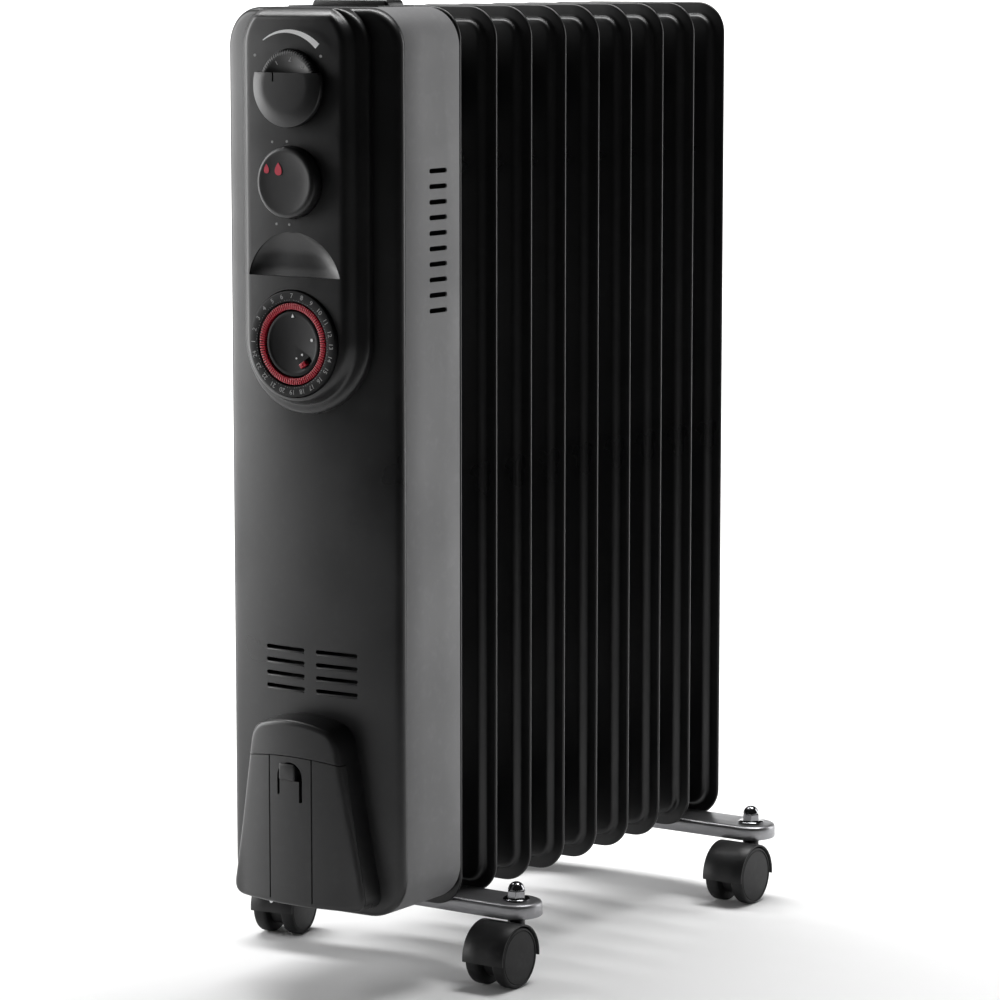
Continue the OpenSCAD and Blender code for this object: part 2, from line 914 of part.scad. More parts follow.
// Wing nuts that draw the brackets up
module wing_nuts() {
    seat = bracket_top - bracket_wall;
    color(zinc)
        for (y = [front_bracket, rear_bracket], side = [-1, 1])
            translate([side * bolt_reach, y, 0])
                difference() {
                    union() {
                        rod_z(5.5, seat - 5, seat, 0, 0);
                        block([-10, -1, seat - 8], [10, 1, seat - 1]);
                    }
                    rod_z(bolt_radius, seat - 9, seat + 1, 0, 0);
                }
}

// Screws that hold the plate to the upper hub and the front to the sleeve
module housing_screws() {
    color(zinc) {
        rod_y(5.5, plate_front - 3.5, plate_front, 0, upper_hub);
        rod_y(screw_radius, plate_front, screw_end, 0, upper_hub);
        for (side = [-1, 1], y = [sleeve_front + 12, sleeve_back - 12]) {
            rod_z(3.2, sleeve_base - 1.4, sleeve_base, side * 38, y);
        }
    }
}

// Threaded castor stems with their collars
module castor_stems() {
    color(zinc)
        for (y = [front_bracket, rear_bracket], side = [-1, 1]) {
            rod_z(collar_radius, boss_top + 0.4, bracket_top - bracket_wall, stem_at(side, y), y);
            rod_z(stem_radius, 22, bracket_top + 6, stem_at(side, y), y);
        }
}

// Flanged dome nuts on the stems
module dome_nuts() {
    color(zinc)
        for (y = [front_bracket, rear_bracket], side = [-1, 1])
            translate([stem_at(side, y), y, bracket_top])
                difference() {
                    union() {
                        cylinder(r = 8.8, h = 1.6);
                        cylinder(r = 6.2, h = 6);
                        translate([0, 0, 6])
                            sphere(r = 6.2);
                    }
                    translate([0, 0, -7])
                        cylinder(r = 8.8, h = 7);
                    translate([0, 0, -1])
                        cylinder(r = stem_radius, h = 7);
                }
}

// Places a castor at one corner, turned about its stem
module at_castor(side, y, turn) {
    translate([stem_at(side, y), y, 0])
        rotate([0, 0, turn])
            children();
}

// Swivelling hood that covers the upper half of two wheels
module castor_hood(side, y, turn) {
    color(dark_plastic)
        at_castor(side, y, turn)
            difference() {
                union() {
                    intersection() {
                        rod_x(hood_radius, -hood_half, hood_half, -trail, wheel_radius);
                        block([-hood_half, -trail - hood_radius, wheel_radius - hood_skirt],
                            [hood_half, -trail + hood_radius, wheel_radius + hood_radius]);
                    }
                    rod_x(14, -hood_web, hood_web, -trail, wheel_radius);
                    rod_z(boss_radius, wheel_radius + 1, boss_top, 0, 0);
                }
                for (end = [-1, 1])
                    rod_x(hood_inner, end > 0 ? hood_web : -hood_half - 1,
                        end > 0 ? hood_half + 1 : -hood_web, -trail, wheel_radius);
                rod_x(axle_radius, -hood_half, hood_half, -trail, wheel_radius);
                rod_z(stem_bore, wheel_radius, boss_top + 1, 0, 0);
            }
}

// Steel axle pressed through the hood
module castor_axle(side, y, turn) {
    color(zinc)
        at_castor(side, y, turn)
            rod_x(axle_radius, axle_inset - wheel_outer, wheel_outer - axle_inset, -trail, wheel_radius);
}

// One dished wheel, end = 1 towards +X and -1 towards -X before the castor is turned
module castor_wheel(side, y, turn, end) {
    near = end > 0 ? wheel_inner : -wheel_outer;
    far = end > 0 ? wheel_outer : -wheel_inner;
    color(black_steel)
        at_castor(side, y, turn)
            difference() {
                rod_x(wheel_radius, near, far, -trail, wheel_radius);
                rod_x(wheel_radius - wheel_dish, end > 0 ? far - 1 : near - 1,
                    end > 0 ? far + 1 : near + 1, -trail, wheel_radius);
                rod_x(axle_bore, end > 0 ? near - 1 : near + wheel_cap,
                    end > 0 ? far - wheel_cap : far + 1, -trail, wheel_radius);
            }
}

fin(1);  // fin_1
fin(2);  // fin_2
fin(3);  // fin_3
fin(4);  // fin_4
fin(5);  // fin_5
fin(6);  // fin_6
fin(7);  // fin_7
fin(8);  // fin_8
fin(9);  // fin_9
header_rings();
oil_filler_plug();
heating_element();
element_flange();
rear_plate();
sleeve();
front_shell();
control_panel();
dial_cover();
thermostat_dial();
thermostat();
selector_knob();
selector_switch();
timer_dial();
timer_tappets();
timer_centre();
timer_override();
timer_motor();
timer_pinion();
thermal_cutout();
tip_over_switch();
terminal_block();
wiring();
cord_gland();
cord_bin();
cord_door();
door_latch();
handle_tray();
carry_handle();
foot_brackets();
u_bolts();
wing_nuts();
housing_screws();
castor_stems();
dome_nuts();
castor_hood(1, front_bracket, 0);  // hood_front_right
castor_hood(-1, front_bracket, left_turn);  // hood_front_left
castor_hood(1, rear_bracket, 0);  // hood_rear_right
castor_hood(-1, rear_bracket, 0);  // hood_rear_left
castor_axle(1, front_bracket, 0);  // axle_front_right
castor_axle(-1, front_bracket, left_turn);  // axle_front_left
castor_axle(1, rear_bracket, 0);  // axle_rear_right
castor_axle(-1, rear_bracket, 0);  // axle_rear_left
castor_wheel(1, front_bracket, 0, 1);  // wheel_fr_outer
castor_wheel(1, front_bracket, 0, -1);  // wheel_fr_inner
castor_wheel(-1, front_bracket, left_turn, 1);  // wheel_fl_outer
castor_wheel(-1, front_bracket, left_turn, -1);  // wheel_fl_inner
castor_wheel(1, rear_bracket, 0, 1);  // wheel_rr_outer
castor_wheel(1, rear_bracket, 0, -1);  // wheel_rr_inner
castor_wheel(-1, rear_bracket, 0, -1);  // wheel_rl_outer
castor_wheel(-1, rear_bracket, 0, 1);  // wheel_rl_inner
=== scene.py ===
import json
import math

import bmesh
import bpy
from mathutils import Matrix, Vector


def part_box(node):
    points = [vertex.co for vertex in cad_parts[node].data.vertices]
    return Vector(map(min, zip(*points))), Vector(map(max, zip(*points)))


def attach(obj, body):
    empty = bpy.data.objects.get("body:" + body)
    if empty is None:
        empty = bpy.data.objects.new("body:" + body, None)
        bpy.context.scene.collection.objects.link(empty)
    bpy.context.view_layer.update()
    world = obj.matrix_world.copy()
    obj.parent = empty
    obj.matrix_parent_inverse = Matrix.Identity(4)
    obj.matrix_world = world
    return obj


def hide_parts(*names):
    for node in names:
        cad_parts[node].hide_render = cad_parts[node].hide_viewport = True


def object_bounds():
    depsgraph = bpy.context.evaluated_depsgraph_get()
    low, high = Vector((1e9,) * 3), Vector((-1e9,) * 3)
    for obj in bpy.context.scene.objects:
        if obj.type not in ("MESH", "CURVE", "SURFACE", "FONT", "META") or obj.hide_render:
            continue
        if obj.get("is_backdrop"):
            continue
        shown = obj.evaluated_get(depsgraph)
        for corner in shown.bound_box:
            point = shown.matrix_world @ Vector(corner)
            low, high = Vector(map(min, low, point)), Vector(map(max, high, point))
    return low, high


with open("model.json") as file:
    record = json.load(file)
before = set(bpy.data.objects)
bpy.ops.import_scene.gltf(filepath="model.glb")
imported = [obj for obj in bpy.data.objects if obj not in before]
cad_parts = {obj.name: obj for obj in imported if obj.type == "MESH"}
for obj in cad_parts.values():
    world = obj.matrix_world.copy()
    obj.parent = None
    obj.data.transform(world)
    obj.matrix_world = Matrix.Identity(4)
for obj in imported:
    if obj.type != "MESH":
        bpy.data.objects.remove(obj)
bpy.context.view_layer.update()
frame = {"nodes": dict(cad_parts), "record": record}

MM = 0.001
WELD = 3e-6
SLIVER = 1e-7
SMALLEST_CORNER = 0.4


def span(node):
    """[(low, high)] of a CAD node along X, Y and Z, in millimetres."""
    low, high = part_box(node)
    return [(low[i] / MM, high[i] / MM) for i in range(3)]


def middle_of(node, axis):
    """Middle of a CAD node along one axis, in millimetres."""
    return sum(span(node)[axis]) / 2


def curve_through(start, control, end, count, first=0):
    """Points of a quadratic curve in the plane."""
    points = []
    for i in range(first, count + 1):
        t = i / count
        points.append(tuple((1 - t) ** 2 * start[k] + 2 * t * (1 - t) * control[k] + t * t * end[k]
                            for k in (0, 1)))
    return points


# ------------------------------------------------------------------ mesh tools
class Shape:
    """Points in millimetres and faces, built up ring by ring."""

    def __init__(self):
        self.points = []
        self.faces = []

    def rings(self, rings, start=False, end=False, loop=False):
        """Walls between rings of equal length, with lids at either end if asked."""
        count, base = len(rings[0]), len(self.points)
        for ring in rings:
            self.points.extend(ring)
        for j in range(len(rings) if loop else len(rings) - 1):
            a = base + j * count
            b = base + (j + 1) % len(rings) * count
            for i in range(count):
                k = (i + 1) % count
                self.faces.append((a + i, a + k, b + k, b + i))
        if start:
            self.faces.append(tuple(base + i for i in range(count)))
        if end:
            last = base + (len(rings) - 1) * count
            self.faces.append(tuple(last + i for i in range(count)))
        return self

    def rows(self, rows):
        """A sheet of quads through rows of equal length."""
        width, base = len(rows[0]), len(self.points)
        for row in rows:
            self.points.extend(row)
        for j in range(len(rows) - 1):
            for i in range(width - 1):
                a = base + j * width + i
                self.faces.append((a, a + 1, a + width + 1, a + width))
        return self

    def bend(self, rule):
        """Moves every point by rule(x, y, z)."""
        self.points = [rule(*p) for p in self.points]
        return self

    def add(self, other):
        base = len(self.points)
        self.points.extend(other.points)
        self.faces.extend(tuple(base + i for i in f) for f in other.faces)
        return self


def arc(cx, cz, radius, start, stop, count):
    """Points along an arc, angles in degrees."""
    angles = [math.radians(start + (stop - start) * i / count) for i in range(count + 1)]
    return [(cx + radius * math.cos(a), cz + radius * math.sin(a)) for a in angles]


def steps(a, b, count):
    """count - 1 values strictly between a and b."""
    return [a + (b - a) * i / count for i in range(1, count)]


def box_half(width, low, high, radius, inset=0.0, side=8, corner=10):
    """Right half of a rounded rectangle from its top to its bottom."""
    half, top, base = width / 2 - inset, high - inset, low + inset
    r = max(radius - inset, SMALLEST_CORNER)
    upper = arc(half - r, top - r, r, 90, 0, corner)
    lower = arc(half - r, base + r, r, 0, -90, corner)
    middle = [(half, z) for z in steps(top - r, base + r, side)]
    return upper + middle + lower


def ring(half, columns):
    """Closed ring from the right half of an outline that is symmetrical about X = 0."""
    (x0, z0), (x1, z1) = half[0], half[-1]
    across = [1 - 2 * i / columns for i in range(1, columns)]
    return (
        list(half)
        + [(x1 * t, z1) for t in across]
        + [(-x, z) for x, z in reversed(half)]
        + [(-x0 * t, z0) for t in across]
    )


def fill(half, columns):
    """Rows of points that fill the outline."""
    return [[(x * (2 * i / columns - 1), z) for i in range(columns + 1)] for x, z in half]


def upright(points, y):
    """Plane points (x, z) set at depth y."""
    return [(x, y, z) for x, z in points]


def moulded(half_at, profile, columns=24):
    """Closed solid: outline half_at(inset) swept through [(inset, y)], filled at both ends."""
    shape = Shape()
    shape.rings([upright(ring(half_at(d), columns), y) for d, y in profile])
    for d, y in (profile[0], profile[-1]):
        shape.rows([upright(row, y) for row in fill(half_at(d), columns)])
    return shape


def turned(profile, centre, axis, count=64, wave=None):
    """Solid of revolution: profile [(radius, position along the axis)] about centre."""
    rings = []
    for radius, along in profile:
        points = []
        for i in range(count):
            a = math.tau * i / count
            r = radius + (wave(a, radius, along) if wave else 0.0)
            u, v = r * math.cos(a), r * math.sin(a)
            if axis == "x":
                points.append((along, centre[0] + u, centre[1] + v))
            elif axis == "y":
                points.append((centre[0] + u, along, centre[1] + v))
            else:
                points.append((centre[0] + u, centre[1] + v, along))
        rings.append(points)
    return Shape().rings(rings, start=profile[0][0] > 0, end=profile[-1][0] > 0)


def prism(outline, front, back):
    """Straight solid between two Y planes; outline is [(x, z)]."""
    return Shape().rings([upright(outline, front), upright(outline, back)], start=True, end=True)


def lump(low, high, radius, segments=4):
    """Box with rounded edges."""
    bm = bmesh.new()
    bmesh.ops.create_cube(bm, size=1.0)
    for v in bm.verts:
        v.co = Vector((low[i] + (v.co[i] + 0.5) * (high[i] - low[i]) for i in range(3)))
    if radius:
        bmesh.ops.bevel(bm, geom=list(bm.edges), offset=radius, segments=segments, profile=0.5,
                        affect="EDGES")
    shape = Shape()
    shape.points = [tuple(v.co) for v in bm.verts]
    bm.verts.index_update()
    shape.faces = [tuple(v.index for v in f.verts) for f in bm.faces]
    bm.free()
    return shape


def solid(name, shape, sharp=32):
    """Mesh object in metres from a shape."""
    bm = bmesh.new()
    verts = [bm.verts.new(Vector(p) * MM) for p in shape.points]
    for face in shape.faces:
        try:
            bm.faces.new([verts[i] for i in face])
        except ValueError:
            pass
    bmesh.ops.remove_doubles(bm, verts=bm.verts, dist=WELD)
    bmesh.ops.dissolve_degenerate(bm, dist=SLIVER, edges=bm.edges)
    bmesh.ops.recalc_face_normals(bm, faces=bm.faces)
    mesh = bpy.data.meshes.new(name)
    bm.to_mesh(mesh)
    bm.free()
    obj = bpy.data.objects.new(name, mesh)
    bpy.context.scene.collection.objects.link(obj)
    soften(mesh, sharp)
    return obj


def soften(mesh, sharp):
    """Smooth shading, broken where faces meet at more than sharp degrees."""
    mesh.shade_smooth()
    mesh.set_sharp_from_angle(angle=math.radians(sharp))


def carve(obj, *cutters, keep=False, sharp=32):
    """Cuts shapes out of obj, or keeps what lies inside them."""
    made = [solid("cutter", c) for c in cutters]
    for c in made:
        cut = obj.modifiers.new("cut", "BOOLEAN")
        cut.operation = "INTERSECT" if keep else "DIFFERENCE"
        cut.solver = "EXACT"
        cut.object = c
    view = bpy.context.evaluated_depsgraph_get()
    mesh = bpy.data.meshes.new_from_object(obj.evaluated_get(view))
    obj.modifiers.clear()
    obj.data = mesh
    for c in made:
        bpy.data.objects.remove(c)
    soften(mesh, sharp)
    return obj


def edge(obj, width, segments=2, angle=40):
    """Small rounded edges."""
    bevel = obj.modifiers.new("edge", "BEVEL")
    bevel.width = width * MM
    bevel.segments = segments
    bevel.limit_method = "ANGLE"
    bevel.angle_limit = math.radians(angle)
    bevel.harden_normals = True
    return obj


def place(obj, paint, body, *nodes, slot=None):
    """Gives a finished piece its material, its body and the CAD nodes that it stands for."""
    obj.data.materials.clear()
    obj.data.materials.append(paint)
    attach(obj, body)
    if nodes:
        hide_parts(*nodes)
    return obj


# ------------------------------------------------------------------ materials
def paint(name, colour, rough, metal=0.0, grain=1400.0, bump=0.05, spread=0.08, dust=0.06,
          scuff=None, specular=0.5, stretch=None):
    """Principled material with fine grain, uneven gloss and a little dust or wear."""
    mat = bpy.data.materials.new(name)
    mat.use_nodes = True
    nodes, links = mat.node_tree.nodes, mat.node_tree.links
    shader = nodes["Principled BSDF"]
    shader.inputs["Metallic"].default_value = metal
    shader.inputs["Specular IOR Level"].default_value = specular
    where = nodes.new("ShaderNodeTexCoord")
    source = where.outputs["Object"]
    if stretch:
        mapping = nodes.new("ShaderNodeMapping")
        mapping.inputs["Scale"].default_value = stretch
        links.new(source, mapping.inputs["Vector"])
        source = mapping.outputs["Vector"]

    def noise(scale, detail):
        node = nodes.new("ShaderNodeTexNoise")
        node.inputs["Scale"].default_value = scale
        node.inputs["Detail"].default_value = detail
        links.new(source, node.inputs["Vector"])
        return node.outputs["Fac"]

    def ranged(value, low, high, to_low, to_high):
        node = nodes.new("ShaderNodeMapRange")
        for key, number in (("From Min", low), ("From Max", high), ("To Min", to_low),
                            ("To Max", to_high)):
            node.inputs[key].default_value = number
        links.new(value, node.inputs["Value"])
        return node.outputs["Result"]

    fine = noise(grain, 3.0)
    broad = noise(14.0, 4.0)
    specks = noise(170.0, 6.0)
    gloss = ranged(broad, 0.3, 0.7, rough - spread, rough + spread)
    links.new(gloss, shader.inputs["Roughness"])
    relief = nodes.new("ShaderNodeBump")
    relief.inputs["Strength"].default_value = bump
    relief.inputs["Distance"].default_value = 0.0006
    links.new(fine, relief.inputs["Height"])
    links.new(relief.outputs["Normal"], shader.inputs["Normal"])
    light = scuff or tuple(min(1.0, c * 1.8 + 0.03) for c in colour)
    blend = nodes.new("ShaderNodeMix")
    blend.data_type = "RGBA"
    blend.inputs["A"].default_value = (*colour, 1)
    blend.inputs["B"].default_value = (*light, 1)
    links.new(ranged(specks, 0.52, 0.8, 0.0, dust * 4), blend.inputs["Factor"])
    links.new(blend.outputs["Result"], shader.inputs["Base Color"])
    return mat


enamel_black = paint("enamel_black", (0.009, 0.009, 0.0095), 0.34, grain=1100, dust=0.03)
# The sleeve's grey is partly its own paint and partly painted light: it is far lighter than the
# fins' black to stand in for the light on the right side, which is kept dim.
enamel_grey = paint("enamel_grey", (0.17, 0.17, 0.173), 0.55, grain=1300, bump=0.07, dust=0.03,
                    specular=0.35)
plate_paint = paint("plate_paint", (0.03, 0.03, 0.032), 0.5, grain=900)
housing = paint("housing_plastic", (0.009, 0.009, 0.0095), 0.35, grain=2200, bump=0.10,
                dust=0.03)
control = paint("control_plastic", (0.012, 0.012, 0.0125), 0.38, grain=2600, dust=0.03)
timer_black = paint("timer_black", (0.006, 0.006, 0.0065), 0.5, grain=2000, bump=0.04,
                    dust=0.02, specular=0.2)
red = paint("red_plastic", (0.42, 0.012, 0.03), 0.33, grain=2400, bump=0.04, dust=0.02,
            scuff=(0.55, 0.10, 0.10))
white_ink = paint("white_ink", (0.82, 0.82, 0.82), 0.5, grain=3000, bump=0.03, dust=0.03,
                  scuff=(0.6, 0.6, 0.6))
red_ink = paint("red_ink", (0.5, 0.01, 0.04), 0.5, grain=3000, bump=0.03, dust=0.03,
                scuff=(0.3, 0.02, 0.04))
grey_ink = paint("grey_ink", (0.3, 0.3, 0.3), 0.5, grain=3000, bump=0.03, dust=0.03,
                 scuff=(0.2, 0.2, 0.2))
cream = paint("cream_plastic", (0.62, 0.58, 0.48), 0.48, grain=1500)
insulation = paint("insulation", (0.36, 0.03, 0.03), 0.42, grain=1800)
rubber = paint("rubber", (0.015, 0.015, 0.015), 0.7, grain=1600, bump=0.15)
brass = paint("brass", (0.62, 0.44, 0.18), 0.3, metal=1.0, grain=900)
zinc = paint("zinc", (0.52, 0.52, 0.53), 0.34, metal=1.0, grain=800, bump=0.06)
pressed = paint("pressed_steel", (0.3, 0.3, 0.31), 0.4, metal=1.0, grain=500, bump=0.12,
                stretch=(0.25, 1.0, 1.0))
chrome = paint("dark_chrome", (0.25, 0.25, 0.26), 0.12, metal=1.0, grain=700, bump=0.02,
               spread=0.04)
castor = paint("castor_plastic", (0.010, 0.010, 0.0105), 0.48, grain=2000, bump=0.10,
               dust=0.05, specular=0.35)
wheel = paint("wheel_plastic", (0.007, 0.007, 0.0075), 0.6, grain=1500, bump=0.12,
              dust=0.06, specular=0.3)

# ------------------------------------------------------------------ housing sizes
(left, right), (sleeve_front, sleeve_back), (house_base, house_top) = span("sleeve")
house_width = right - left
shell_depth = 5
shell_front = sleeve_front - shell_depth
house_corner = 25
panel_x, (shield_front, _), (panel_low, _) = span("control_panel")
tier_half = panel_x[1]
ledge = 9
high_half = tier_half - ledge
tier_low = sleeve_front - 18
tier_high = tier_low - ledge
tongue_z = panel_low + tier_half
dial_z = middle_of("thermostat_dial", 2)
knob_z = middle_of("selector_knob", 2)
timer_z = middle_of("timer_dial", 2)
bow_depth = 5.0
shell_bow = 6.5
crown_radius = 18


def bow(x, y, z):
    """The front of the housing is domed from side to side."""
    share = min(1.0, max(0.0, (sleeve_front - y) / shell_depth))
    return x, y + bow_depth * (x / (house_width / 2)) ** 2 * share, z


def swell(x, y, z):
    """The shell swells forwards towards its middle."""
    share = min(1.0, max(0.0, (sleeve_front - y) / shell_depth))
    return x, y - shell_bow * (1 - (x / (house_width / 2)) ** 2) * share, z


def crown(x, y, z):
    """The panel rolls over towards the top and is domed."""
    rise = z - (house_top - crown_radius)
    if rise > 0:
        drop = math.sqrt(max(0.0, crown_radius**2 - min(rise, crown_radius) ** 2))
        front = shield_front + crown_radius - drop
        y = max(y, front)
    return bow(x, y, z)


# ------------------------------------------------------------------ fins
fin_corner = 21
header_inset = 48
web_inset, web_width, web_corner = 87, 30, 14


def fin_shape():
    """Two pressed halves back to back: thin rim, oil channel, middle web and header bosses."""
    low, high = span("fin_2")[2]
    width = span("fin_2")[0][1] * 2
    half = (span("fin_2")[1][1] - span("fin_2")[1][0]) / 2
    profile = [(0.0, 0.0), (0.12, 0.55), (0.5, 1.0), (1.1, 1.2), (6.4, 1.2), (7.3, 1.32),
               (8.1, 1.9), (8.7, 3.0), (9.2, 4.1), (9.9, 4.95), (11.0, 5.4), (12.6, half),
               (24.0, half)]
    shape = Shape()
    for side in (-1, 1):
        rings = []
        for inset, y in profile:
            half_ring = box_half(width, low, high, fin_corner, inset, side=12, corner=14)
            rings.append(upright(ring(half_ring, 8), side * y))
        for inset, y in ((0, half), (0.8, half - 0.3), (2.2, 2.4), (3.0, 1.5), (4.5, 1.2)):
            half_ring = box_half(web_width, low + web_inset, high - web_inset, web_corner, inset,
                                 side=12, corner=14)
            rings.append(upright(ring(half_ring, 8), side * y))
        shape.rings(rings, end=True)
        for z in (low + header_inset, high - header_inset):
            boss = [(29.5, half - 0.1), (28.5, half + 0.25), (26.5, half + 0.3), (26.4, half - 0.2)]
            shape.add(turned([(r, side * y) for r, y in boss], (0, z), "y", 64))
    return shape


fin_middle = middle_of("fin_5", 1)
fin_pitch = middle_of("fin_6", 1) - fin_middle
fin_mesh = None
for index in range(1, 10):
    node = f"fin_{index}"
    if fin_mesh is None:
        fin = solid(f"{node}.pressing", fin_shape(), sharp=50)
        fin_mesh = fin.data
        fin_mesh.materials.append(enamel_black)
    else:
        fin = bpy.data.objects.new(f"{node}.pressing", fin_mesh)
        bpy.context.scene.collection.objects.link(fin)
    # The end fins' boxes also take in what is joined to them, so the pitch places those two.
    end_fin = index in (1, 9)
    fin.location.y = (fin_middle + (index - 5) * fin_pitch if end_fin else middle_of(node, 1)) * MM
    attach(fin, "heater")
    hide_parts(node)

# ------------------------------------------------------------------ sleeve
wall = 1.2
lip = [(0.6, sleeve_front), (0.2, sleeve_front + 0.2), (0.0, sleeve_front + 0.7),
       (0.0, sleeve_front + 20), (0.0, sleeve_back - 20), (0.0, sleeve_back - 0.9),
       (0.15, sleeve_back - 0.3), (0.6, sleeve_back), (1.05, sleeve_back - 0.3),
       (wall, sleeve_back - 0.9), (wall, sleeve_front + 0.7), (1.0, sleeve_front + 0.2)]
sleeve_rings = []
for inset, y in lip:
    outline = box_half(house_width, house_base, house_top, house_corner, inset, side=4, corner=16)
    sleeve_rings.append(upright(ring(outline, 6), y))
sleeve = solid("sleeve.folded", Shape().rings(sleeve_rings, loop=True))
slots = Shape()
slot_count, slot_pitch, slot_radius, slot_reach = 10, 9.75, 1.5, 8.0
slot_mid = sleeve_back - 24.0
for i in range(slot_count):
    z = house_top - 100 - i * slot_pitch - slot_radius
    outline = (arc(slot_mid + slot_reach, z, slot_radius, -90, 90, 8)
               + arc(slot_mid - slot_reach, z, slot_radius, 90, 270, 8))
    slots.rings([[(x, y, height) for y, height in outline] for x in (left - 2, right + 2)],
                start=True, end=True)
tray_x, tray_y, _ = span("handle_tray")
tray_hole = lump((tray_x[0], tray_y[0], house_top - 5), (tray_x[1], tray_y[1], house_top + 2), 0)
carve(sleeve, slots, tray_hole)
edge(sleeve, 0.25)
# The sleeve's grey carries painted light from the right side as well as its paint colour.
place(sleeve, enamel_grey, "heater", "sleeve", slot="sleeve_steel")

# ------------------------------------------------------------------ front shell and cord store
_, store_y, store_z = span("cord_door")
store_base, store_front = store_z[0], store_y[0]
seam = store_z[1] + 3.0
store_top = store_z[1] + 28.0
belly_depth, belly_half = 4.5, 44
bin_x, _, bin_z = span("cord_bin")


def store_half(inset):
    """Right half of the cord store's outline."""
    shoulder_x, sag = 24, 3.6
    shoulder = (shoulder_x, store_top - sag)
    hip, foot = (34.0, store_top - 16), (51.0, store_base + 10)
    points = [(x, store_top - sag * (x / shoulder_x) ** 2) for x in range(0, shoulder_x + 1, 4)]
    points += curve_through(shoulder, (31.6, store_top - 6), hip, 8, first=1)
    points += [(hip[0] + (foot[0] - hip[0]) * t / 10, hip[1] + (foot[1] - hip[1]) * t / 10)
               for t in range(1, 10)]
    points += curve_through(foot, (52.4, store_base), (41.5, store_base), 8)
    moved = []
    for i, (x, z) in enumerate(points):
        a, b = points[max(i - 1, 0)], points[min(i + 1, len(points) - 1)]
        dx, dz = b[0] - a[0], b[1] - a[1]
        size = math.hypot(dx, dz)
        nx, nz = dz / size, -dx / size
        if i == 0:
            nx, nz = 0.0, -1.0
        if i == len(points) - 1:
            nx, nz = 0.0, 1.0
        moved.append((max(0.0, x + inset * nx), z + inset * nz))
    return moved


def belly(x, y, z):
    """The cord store swells forwards in the middle."""
    share = min(1.0, max(0.0, (shell_front - y) / (shell_front - store_front)))
    dome = belly_depth * max(0.0, 1 - (x / belly_half) ** 2)
    return x, y + (bow_depth * (x / 60) ** 2 - dome) * share, z


def store_block(back, front):
    """Domed block with the outline of the cord store."""
    profile = [(-0.7, back), (0.0, front + 3.4), (0.12, front + 2.2), (0.5, front + 1.2),
               (1.2, front + 0.5), (2.2, front + 0.12), (3.4, front)]
    return moulded(store_half, profile, 24).bend(belly)


def below_seam(gap, front, back):
    """Everything under the arched seam."""
    reach, foot = 60, store_base - 20
    top = [(x, seam + 1.6 - 3.6 * (x / 37) ** 2 + gap) for x in range(-reach, reach + 1, 4)]
    return prism([(-reach, foot)] + top + [(reach, foot)], front, back)


shell_profile = [(0.5, sleeve_front + 0.15), (0.1, sleeve_front - 0.1), (0.0, sleeve_front - 0.5),
                 (0.0, shell_front + 4.0), (0.25, shell_front + 2.6), (0.9, shell_front + 1.4),
                 (1.9, shell_front + 0.55), (3.2, shell_front + 0.12), (4.8, shell_front),
                 (9.0, shell_front)]
shell = solid("front_shell.moulding", moulded(
    lambda d: box_half(house_width, house_base, house_top, house_corner, d, side=24, corner=14),
    shell_profile, 32).bend(swell))
surround = solid("store_surround.moulding", store_block(shell_front + 2, store_front))
inner = [(x, z) for x, z in store_half(2.5) if z > store_base + 2.6]
inner = inner + [(inner[-1][0], store_base + 2.6)]
inner_ring = ring(inner, 4)
slits = Shape()
lips = Shape()
slit_pitch, slit_reach, slit_radius, slit_middle = 8.4, 14.5, 1.25, 20.2
for i in range(4):
    z = house_base + 168.5 - i * slit_pitch
    for side in (-1, 1):
        mid = side * slit_middle
        outline = (arc(mid + slit_reach, z, slit_radius, -90, 90, 6)
                   + arc(mid - slit_reach, z, slit_radius, 90, 270, 6))
        slits.add(prism(outline, shell_front - 8, shell_front + 3))
        lips.add(lump((mid - 15, shell_front - 0.5, z - 2.6),
                      (mid + 15, shell_front + 0.6, z - 1.5), 0.5, 3))
hinge_z = store_base + 4.5
hinge_y = store_front + 6.5
carve(shell, slits, lump((bin_x[0] + 2, shell_front - 8, bin_z[0] + 2),
                         (bin_x[1] - 2, sleeve_front + 2, bin_z[1] - 2), 0))
# The exact solver only keeps this piece whole when the cuts come in this order.
carve(surround, lump((-60, store_front - 8, store_base - 3), (60, hinge_y + 8.4, hinge_z), 0),
      below_seam(0.25, store_front - 8, store_front + 6.8),
      prism(inner_ring, store_front + 2.5, shell_front + 4))
lips.bend(swell)
louvre_lips = solid("louvre_lips", lips)
place(shell, housing, "heater", "front_shell", slot="housing_plastic")
place(surround, housing, "heater", slot="housing_plastic")
place(louvre_lips, housing, "heater", slot="housing_plastic")
ear_count, ear_bore, ear_radius, ear_near, ear_far = 32, 2.08, 2.7, 46.8, 48.4
for side, name in ((-1, "left"), (1, "right")):
    near, far = side * ear_near, side * ear_far
    ear = turned([(ear_bore, near), (ear_radius, near), (ear_radius, far), (ear_bore, far)],
                 (hinge_y, hinge_z), "x", ear_count)
    # The lids give way to the bore that the hinge pin turns in.
    ear.faces = [f for f in ear.faces if len(f) == 4]
    base = len(ear.points) - ear_count
    for i in range(ear_count):
        k = (i + 1) % ear_count
        ear.faces.append((i, k, base + k, base + i))
    place(solid(f"door_ear.{name}", ear), housing, "heater", slot="housing_plastic")

